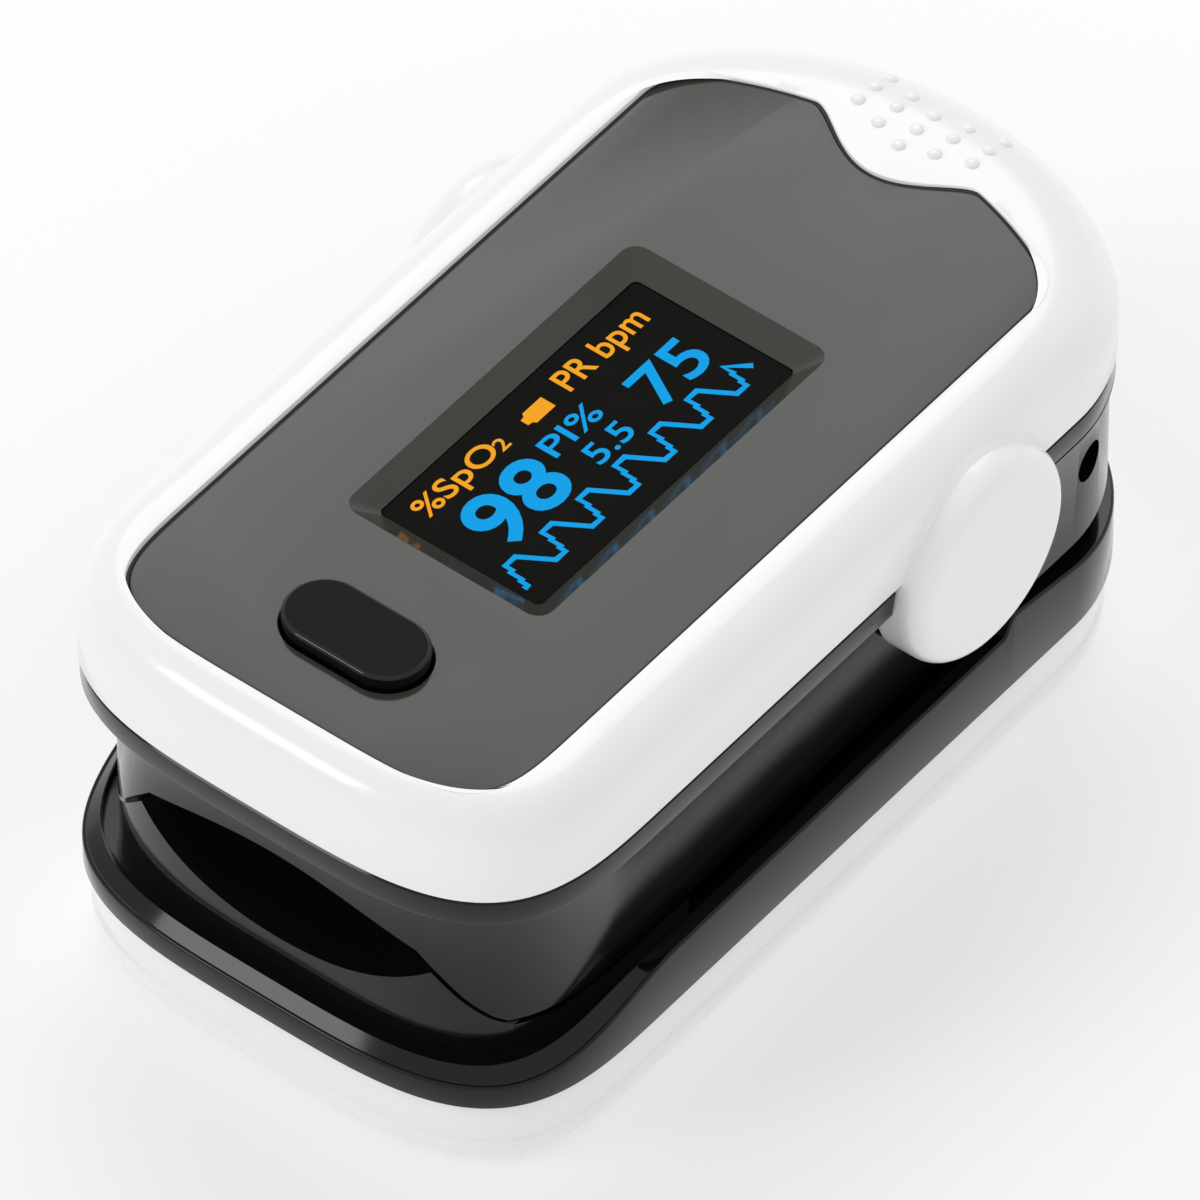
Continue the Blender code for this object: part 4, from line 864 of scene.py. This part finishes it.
def round_width(y):
    """How far the cover's rounded edge reaches in: little in front, far behind."""
    return 2.2 + 0.8 * eased(y, -27, -18) + 2.4 * eased(y, 14, 29)


def round_height(y):
    return 3.0 + 0.8 * eased(y, 14, 29)


def lip_z(y):
    return COVER_LIP_Z - 0.35 * eased(y, 16, 29)


def cover_level(turn_deg):
    """A level on the cover's rounded edge."""
    turn = math.radians(turn_deg)
    return (
        lambda y: round_width(y) * (1 - math.cos(turn)),
        lambda y: lip_z(y) - round_height(y) * (1 - math.sin(turn)),
    )


SEAT_Z = 26.1
OPENINGS_Z = (20, 26.3)
levels = [(1.8, SEAT_Z - 1.1), (1.8, COVER_BOTTOM_Z), (0.2, COVER_BOTTOM_Z), (0.06, COVER_BOTTOM_Z + 0.05)]
levels += [(0, COVER_BOTTOM_Z + 0.2)] + [cover_level(turn) for turn in range(0, 91, 6)]
bm = bmesh.new()
underside, lip_ring = draw_shell(bm, body_rings(levels), close="open")
bmesh.ops.contextual_create(bm, geom=underside)
seat_rings = [
    [(x, y, lip_z(y) - drop) for x, y in panel_plan(outset)]
    for outset, drop in ((0.3, 0.0), (0.2, 0.03), (0.15, 0.12))
] + [[(x, y, SEAT_Z) for x, y in panel_plan(0.15)]]
seat_edge, seat_floor = draw_shell(bm, seat_rings, close="open")
bmesh.ops.contextual_create(bm, geom=seat_floor)
bmesh.ops.bridge_loops(bm, edges=lip_ring + seat_edge)
bmesh.ops.recalc_face_normals(bm, faces=bm.faces)
top_cover = piece_from(bm, "cover_shell")
combine(
    top_cover,
    "DIFFERENCE",
    box_tool((-9.95, 9.95), (DISPLAY_Y - 13.65, DISPLAY_Y + 13.65), OPENINGS_Z),
)
key_room = slot_plan(BUTTON_Y, BUTTON_WIDTH + 0.4, BUTTON_LENGTH + 0.4)
key_opening = shell_piece("key_opening", [[(x, y, z) for x, y in key_room] for z in OPENINGS_Z])
combine(top_cover, "DIFFERENCE", key_opening)


WALL_ROUND = 3.0


def wall_x(z):
    """The cover's side wall, seen from the front, at a height."""
    rise = min(1.0, max(0.0, (z - COVER_LIP_Z + WALL_ROUND) / WALL_ROUND))
    return BODY_HALF_WIDTH - WALL_ROUND * (1 - math.sqrt(1 - rise * rise))


EAR_FACE_X = node_box("top_cover")[1].x
EAR_ROUND = 1.45
EAR_FOOT_X = 15.2
FLARES = {16.72: 0.25, 16.62: 0.6, 16.5: 1.1, 16.4: 1.7}
bm = bmesh.new()
profile = [(0.0, EAR_FACE_X), (2.2, EAR_FACE_X - 0.01), (4.2, EAR_FACE_X - 0.03)]
for step in range(9):
    turn = math.radians(90 * (1 - step / 8))
    profile.append(
        (EAR_RADIUS - EAR_ROUND * (1 - math.cos(turn)), EAR_FACE_X - 0.05 - EAR_ROUND * (1 - math.sin(turn)))
    )
profile += [(EAR_RADIUS, x) for x in FLARES] + [(EAR_RADIUS, EAR_FOOT_X + 0.1)]
profile += [(EAR_RADIUS - 0.1, EAR_FOOT_X), (0.0, EAR_FOOT_X)]
before = bm.verts.new((profile[0][1], EAR_Y, EAR_Z))
for r, x in profile[1:]:
    after = bm.verts.new((x, EAR_Y, EAR_Z + r))
    bm.edges.new((before, after))
    before = after
bmesh.ops.spin(
    bm,
    geom=bm.verts[:] + bm.edges[:],
    cent=(0, EAR_Y, EAR_Z),
    axis=(1, 0, 0),
    angle=math.tau,
    steps=128,
    use_merge=True,
)
bmesh.ops.remove_doubles(bm, verts=bm.verts, dist=0.001)
for corner in bm.verts:
    x, y, z = corner.co
    from_axis = math.hypot(y - EAR_Y, z - EAR_Z)
    lift = eased(z, 21.9, 25.5)
    for start, outset in FLARES.items():
        if abs(x - start) < 0.005 and from_axis > EAR_RADIUS - 0.01:
            grown = (EAR_RADIUS + outset * lift) / from_axis
            corner.co.y = EAR_Y + (y - EAR_Y) * grown
            corner.co.z = EAR_Z + (z - EAR_Z) * grown
    near_wall = min(1.0, max(0.0, (EAR_FACE_X - x) / (EAR_FACE_X - 16.6)))
    if x > 15.6:
        corner.co.x -= (BODY_HALF_WIDTH - wall_x(corner.co.z)) * near_wall
bmesh.ops.recalc_face_normals(bm, faces=bm.faces)
right_ear = piece_from(bm, "right_ear")
left_ear = bpy.data.objects.new("left_ear", right_ear.data.copy())
bpy.context.scene.collection.objects.link(left_ear)
left_ear.data.transform(Matrix.Diagonal((-1, 1, 1, 1)))
left_ear.data.flip_normals()

bm = bmesh.new()
bm.from_mesh(top_cover.data)
surface = BVHTree.FromBMesh(bm)
DOT_RADIUS = 0.42
DOT_ROWS = {0.0: (27.0, 25.5, 23.9), 1.9: (27.55, 26.2, 24.6), 3.85: (28.25, 26.85, 25.35)}
for column, row in DOT_ROWS.items():
    for x in {column, -column}:
        for y in row:
            spot, normal = surface.ray_cast(Vector((x, y, 40)), Vector((0, 0, -1)))[:2]
            if normal.z < 0:
                normal = -normal
            turn = normal.to_track_quat("Z", "Y").to_matrix().to_4x4()
            bmesh.ops.create_uvsphere(
                bm,
                u_segments=20,
                v_segments=12,
                radius=DOT_RADIUS,
                matrix=Matrix.Translation(spot - normal * 0.02) @ turn @ Matrix.Diagonal((1, 1, 0.6, 1)),
            )
for ear in (right_ear, left_ear):
    bm.from_mesh(ear.data)
    bpy.data.objects.remove(ear)
bm.to_mesh(top_cover.data)
bm.free()
finish(top_cover, "upper", WHITE_ABS, ["top_cover"])

# ---------------------------------------------------------------- face panel
# A grey panel bonded into the cover's seat, with a fine satin grain, a window
# with sloping sides over the display, and a slot for the key.

PANEL_GREY = plastic(
    "panel_grey", (0.041, 0.042, 0.036), 0.12, grain=0.06, grain_scale=6000, mottle=0.05, spread=0.02, specular=0.4
)

PANEL_Z = node_box("face_panel")[1].z
panel_low = node_box("face_panel")[0].z
face_panel = shell_piece(
    "panel_plate",
    [
        [(x, y, z) for x, y in panel_plan(-inset)]
        for inset, z in ((0.0, panel_low), (0.0, PANEL_Z - 0.12), (0.04, PANEL_Z - 0.03), (0.13, PANEL_Z))
    ],
)
window = shell_piece(
    "window",
    [
        [(x, y, z) for x, y in window_plan(half_x, half_y, corner)]
        for half_x, half_y, corner, z in (
            (*PICTURE_HALF, PICTURE_CORNER, panel_low - 0.5),
            (*PICTURE_HALF, PICTURE_CORNER, panel_low + 0.05),
            (6.62, 12.22, 0.9, PANEL_Z - 0.08),
            (6.72, 12.32, 1.0, PANEL_Z),
            (6.9, 12.5, 1.1, PANEL_Z + 0.2),
        )
    ],
)
KEY_ROOM = 0.12
key_slot = shell_piece(
    "key_slot",
    [
        [(x, y, z) for x, y in slot_plan(BUTTON_Y, BUTTON_WIDTH + 2 * grow, BUTTON_LENGTH + 2 * grow)]
        for grow, z in (
            (KEY_ROOM, panel_low - 1),
            (KEY_ROOM, PANEL_Z - 0.05),
            (KEY_ROOM + 0.05, PANEL_Z),
            (KEY_ROOM + 0.2, PANEL_Z + 0.15),
        )
    ],
)
combine(face_panel, "DIFFERENCE", window, key_slot)
finish(face_panel, "upper", PANEL_GREY, ["face_panel"])

# A thin dark ring fills the gap round the panel in its seat: painted shade in the seam, made in the pads' silicone
# material.
panel_seam_shade = shell_piece(
    "panel_seam_shade",
    [
        [(x, y, z) for x, y in panel_plan(outset)]
        for outset, z in ((0.02, SEAT_Z + 0.1), (0.02, PANEL_Z - 0.1), (0.16, PANEL_Z - 0.02), (0.16, SEAT_Z + 0.1))
    ],
    close="bridge",
)
finish(panel_seam_shade, "upper", SILICONE)

# ---------------------------------------------------------------- cells and contacts
# Two slim dry cells in printed sleeves, held between spring wire and nickel
# plated strips. A riveted bridge strip joins them at the front.


def repaint(name, material):
    """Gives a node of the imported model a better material."""
    for place in bpy.data.objects[name].material_slots:
        place.material = material


def metal(name, colour, roughness, scratch_scale, scratch=0.15):
    """Bare or plated metal with fine drawn scratches along the body."""
    made = bpy.data.materials.new(name)
    made.use_nodes = True
    nodes, links = made.node_tree.nodes, made.node_tree.links
    shader = nodes["Principled BSDF"]
    shader.inputs["Metallic"].default_value = 1.0
    place = nodes.new("ShaderNodeTexCoord")
    stretch = nodes.new("ShaderNodeMapping")
    stretch.inputs["Scale"].default_value = (1.0, 0.15, 1.0)
    links.new(place.outputs["Object"], stretch.inputs["Vector"])
    streaks = nodes.new("ShaderNodeTexNoise")
    streaks.inputs["Scale"].default_value = scratch_scale
    streaks.inputs["Detail"].default_value = 3
    links.new(stretch.outputs["Vector"], streaks.inputs["Vector"])
    tint = nodes.new("ShaderNodeMix")
    tint.data_type = "RGBA"
    tint.inputs["A"].default_value = (*[c * 0.85 for c in colour], 1)
    tint.inputs["B"].default_value = (*colour, 1)
    links.new(streaks.outputs["Fac"], tint.inputs["Factor"])
    links.new(tint.outputs["Result"], shader.inputs["Base Color"])
    gloss = nodes.new("ShaderNodeMapRange")
    gloss.inputs["To Min"].default_value = roughness * 0.7
    gloss.inputs["To Max"].default_value = roughness * 1.3
    links.new(streaks.outputs["Fac"], gloss.inputs["Value"])
    links.new(gloss.outputs["Result"], shader.inputs["Roughness"])
    bump = nodes.new("ShaderNodeBump")
    bump.inputs["Strength"].default_value = scratch
    bump.inputs["Distance"].default_value = 0.00001
    links.new(streaks.outputs["Fac"], bump.inputs["Height"])
    links.new(bump.outputs["Normal"], shader.inputs["Normal"])
    return made


def handled(name, roughness):
    """A material whose gloss is uneven from handling, ready for its colours."""
    made = bpy.data.materials.new(name)
    made.use_nodes = True
    nodes, links = made.node_tree.nodes, made.node_tree.links
    place = nodes.new("ShaderNodeTexCoord")
    wear = nodes.new("ShaderNodeTexNoise")
    wear.inputs["Scale"].default_value = 700
    links.new(place.outputs["Object"], wear.inputs["Vector"])
    gloss = nodes.new("ShaderNodeMapRange")
    gloss.inputs["To Min"].default_value = roughness * 0.8
    gloss.inputs["To Max"].default_value = roughness * 1.2
    links.new(wear.outputs["Fac"], gloss.inputs["Value"])
    links.new(gloss.outputs["Result"], nodes["Principled BSDF"].inputs["Roughness"])
    return made, nodes, links, place


def banded(name, axis, bands, roughness, metallic):
    """Plain colours side by side along an axis. A band is (where it starts in
    millimetres, colour)."""
    made, nodes, links, place = handled(name, roughness)
    shader = nodes["Principled BSDF"]
    shader.inputs["Metallic"].default_value = metallic
    split = nodes.new("ShaderNodeSeparateXYZ")
    links.new(place.outputs["Object"], split.inputs["Vector"])
    span = nodes.new("ShaderNodeMapRange")
    reach = 30.0
    span.inputs["From Min"].default_value = -reach * 0.001
    span.inputs["From Max"].default_value = reach * 0.001
    links.new(split.outputs[axis], span.inputs["Value"])
    ramp = nodes.new("ShaderNodeValToRGB")
    ramp.color_ramp.interpolation = "CONSTANT"
    steps = ramp.color_ramp.elements
    for number, (start, colour) in enumerate(bands):
        step = steps[number] if number < 2 else steps.new(1.0)
        step.position = (start + reach) / (2 * reach)
        step.color = (*colour, 1)
    links.new(span.outputs["Result"], ramp.inputs["Fac"])
    links.new(ramp.outputs["Color"], shader.inputs["Base Color"])
    return made


low, high = node_box("battery_left")
CAN_STEEL = (0.6, 0.6, 0.58)
CELL_WRAP = banded(
    "cell_wrap",
    "Y",
    [
        (-30, CAN_STEEL),
        (low.y + 1.6, (0.02, 0.02, 0.022)),
        (high.y - 12.0, (0.55, 0.21, 0.06)),
        (high.y - 1.6, CAN_STEEL),
    ],
    0.3,
    metallic=0.35,
)
NICKEL = metal("nickel_plate", (0.72, 0.69, 0.62), 0.22, 2500)
SPRING_WIRE = metal("spring_wire", (0.56, 0.55, 0.54), 0.28, 4000)
for side in ("left", "right"):
    repaint(f"battery_{side}", CELL_WRAP)
    repaint(f"battery_spring_{side}", SPRING_WIRE)
    repaint(f"battery_contact_{side}", NICKEL)
repaint("battery_bridge", NICKEL)

# ---------------------------------------------------------------- board and sensor
# A green circuit board carries the chip, the switch and the display's amber
# ribbon. A red and infrared emitter above faces a photodiode below, each behind
# a clear window.

BOARD_GREEN, nodes, links, place = handled("board_mask", 0.35)
tracks = nodes.new("ShaderNodeTexVoronoi")
tracks.distance = "MANHATTAN"
tracks.inputs["Scale"].default_value = 420
links.new(place.outputs["Object"], tracks.inputs["Vector"])
edge = nodes.new("ShaderNodeValToRGB")
edge.color_ramp.interpolation = "CONSTANT"
edge.color_ramp.elements[0].color = (0.012, 0.11, 0.045, 1)
edge.color_ramp.elements[1].position = 0.62
edge.color_ramp.elements[1].color = (0.006, 0.055, 0.024, 1)
links.new(tracks.outputs["Distance"], edge.inputs["Fac"])
links.new(edge.outputs["Color"], nodes["Principled BSDF"].inputs["Base Color"])
repaint("main_board", BOARD_GREEN)
repaint("processor_chip", plastic("chip_epoxy", (0.018, 0.018, 0.02), 0.5, grain=0.5, grain_scale=9000, mottle=0.15))
repaint("tact_switch", metal("switch_steel", (0.66, 0.66, 0.64), 0.3, 3500))
POLYIMIDE, nodes, links, place = handled("polyimide_ribbon", 0.3)
tracks = nodes.new("ShaderNodeTexWave")
tracks.bands_direction = "X"
tracks.inputs["Scale"].default_value = 900
links.new(place.outputs["Object"], tracks.inputs["Vector"])
copper = nodes.new("ShaderNodeMix")
copper.data_type = "RGBA"
copper.inputs["A"].default_value = (0.5, 0.2, 0.02, 1)
copper.inputs["B"].default_value = (0.36, 0.12, 0.03, 1)
links.new(tracks.outputs["Fac"], copper.inputs["Factor"])
links.new(copper.outputs["Result"], nodes["Principled BSDF"].inputs["Base Color"])
repaint("ribbon_cable", POLYIMIDE)
repaint("led_emitter", plastic("emitter_lens", (0.7, 0.72, 0.74), 0.12, mottle=0.05, coat=0.6))
repaint("photodiode", plastic("diode_silicon", (0.01, 0.012, 0.03), 0.12, mottle=0.2, coat=0.5))
WINDOW_CLEAR = plastic("window_polycarbonate", (0.45, 0.4, 0.4), 0.08, mottle=0.05, coat=0.5)
repaint("emitter_window", WINDOW_CLEAR)
repaint("sensor_window", WINDOW_CLEAR)

# ---------------------------------------------------------------- hinge and screws
# A polished steel pin through both ears, a coiled torsion spring on each side
# of it, and eight zinc-plated screws.

repaint("hinge_axle", metal("pin_steel", (0.62, 0.62, 0.61), 0.16, 5000))
for side in ("left", "right"):
    repaint(f"torsion_spring_{side}", SPRING_WIRE)
SCREW_ZINC = metal("screw_zinc", (0.66, 0.68, 0.7), 0.3, 3000, scratch=0.3)
for number in range(1, 5):
    repaint(f"lower_screw_{number}", SCREW_ZINC)
    repaint(f"upper_screw_{number}", SCREW_ZINC)

# ---------------------------------------------------------------- floor, light, camera
# A pale studio floor that runs up to a pale sky, a large softbox behind the
# left shoulder, a small one low in front, and a long lens.

bm = bmesh.new()
bmesh.ops.create_grid(bm, x_segments=1, y_segments=1, size=3.0)
floor = piece_from(bm, "studio_floor")
floor_paint = bpy.data.materials.new("floor_paint")
floor_paint.use_nodes = True
paint = floor_paint.node_tree.nodes["Principled BSDF"]
paint.inputs["Base Color"].default_value = (0.62, 0.62, 0.62, 1)
paint.inputs["Emission Color"].default_value = (1, 1, 1, 1)
paint.inputs["Emission Strength"].default_value = 0.36
paint.inputs["Roughness"].default_value = 0.9
paint.inputs["Specular IOR Level"].default_value = 0.0
floor.data.materials.append(floor_paint)
floor.location = (0, 0, -0.0002)

world = bpy.data.worlds.new("studio")
bpy.context.scene.world = world
world.use_nodes = True
world.node_tree.nodes["Background"].inputs["Color"].default_value = (1, 1, 1, 1)
world.node_tree.nodes["Background"].inputs["Strength"].default_value = 0.8


def softbox(name, place, target, size, power):
    light = bpy.data.lights.new(name, "AREA")
    light.shape = "RECTANGLE"
    light.size, light.size_y = size
    light.energy = power
    lamp = bpy.data.objects.new(name, light)
    bpy.context.scene.collection.objects.link(lamp)
    lamp.location = place
    lamp.rotation_euler = (Vector(target) - Vector(place)).to_track_quat("-Z", "Y").to_euler()


softbox("rear_softbox", (-0.382, 0.481, 0.67), (0, 0, 0.013), (0.6, 0.6), 1.9)
softbox("front_softbox", (-0.382, -0.689, 0.434), (0, 0, 0.01), (0.25, 0.25), 1.1)

camera = bpy.data.cameras.new("camera")
camera.lens = 600
camera.sensor_width = 36
camera.clip_end = 10
eye = bpy.data.objects.new("camera", camera)
bpy.context.scene.collection.objects.link(eye)
eye.location = (0.4516, -0.5702, 0.7903)
eye.rotation_euler = (Vector((0.00459, -0.00748, 0.02127)) - eye.location).to_track_quat("-Z", "Y").to_euler()
bpy.context.scene.camera = eye
bpy.context.scene.view_settings.view_transform = "Standard"
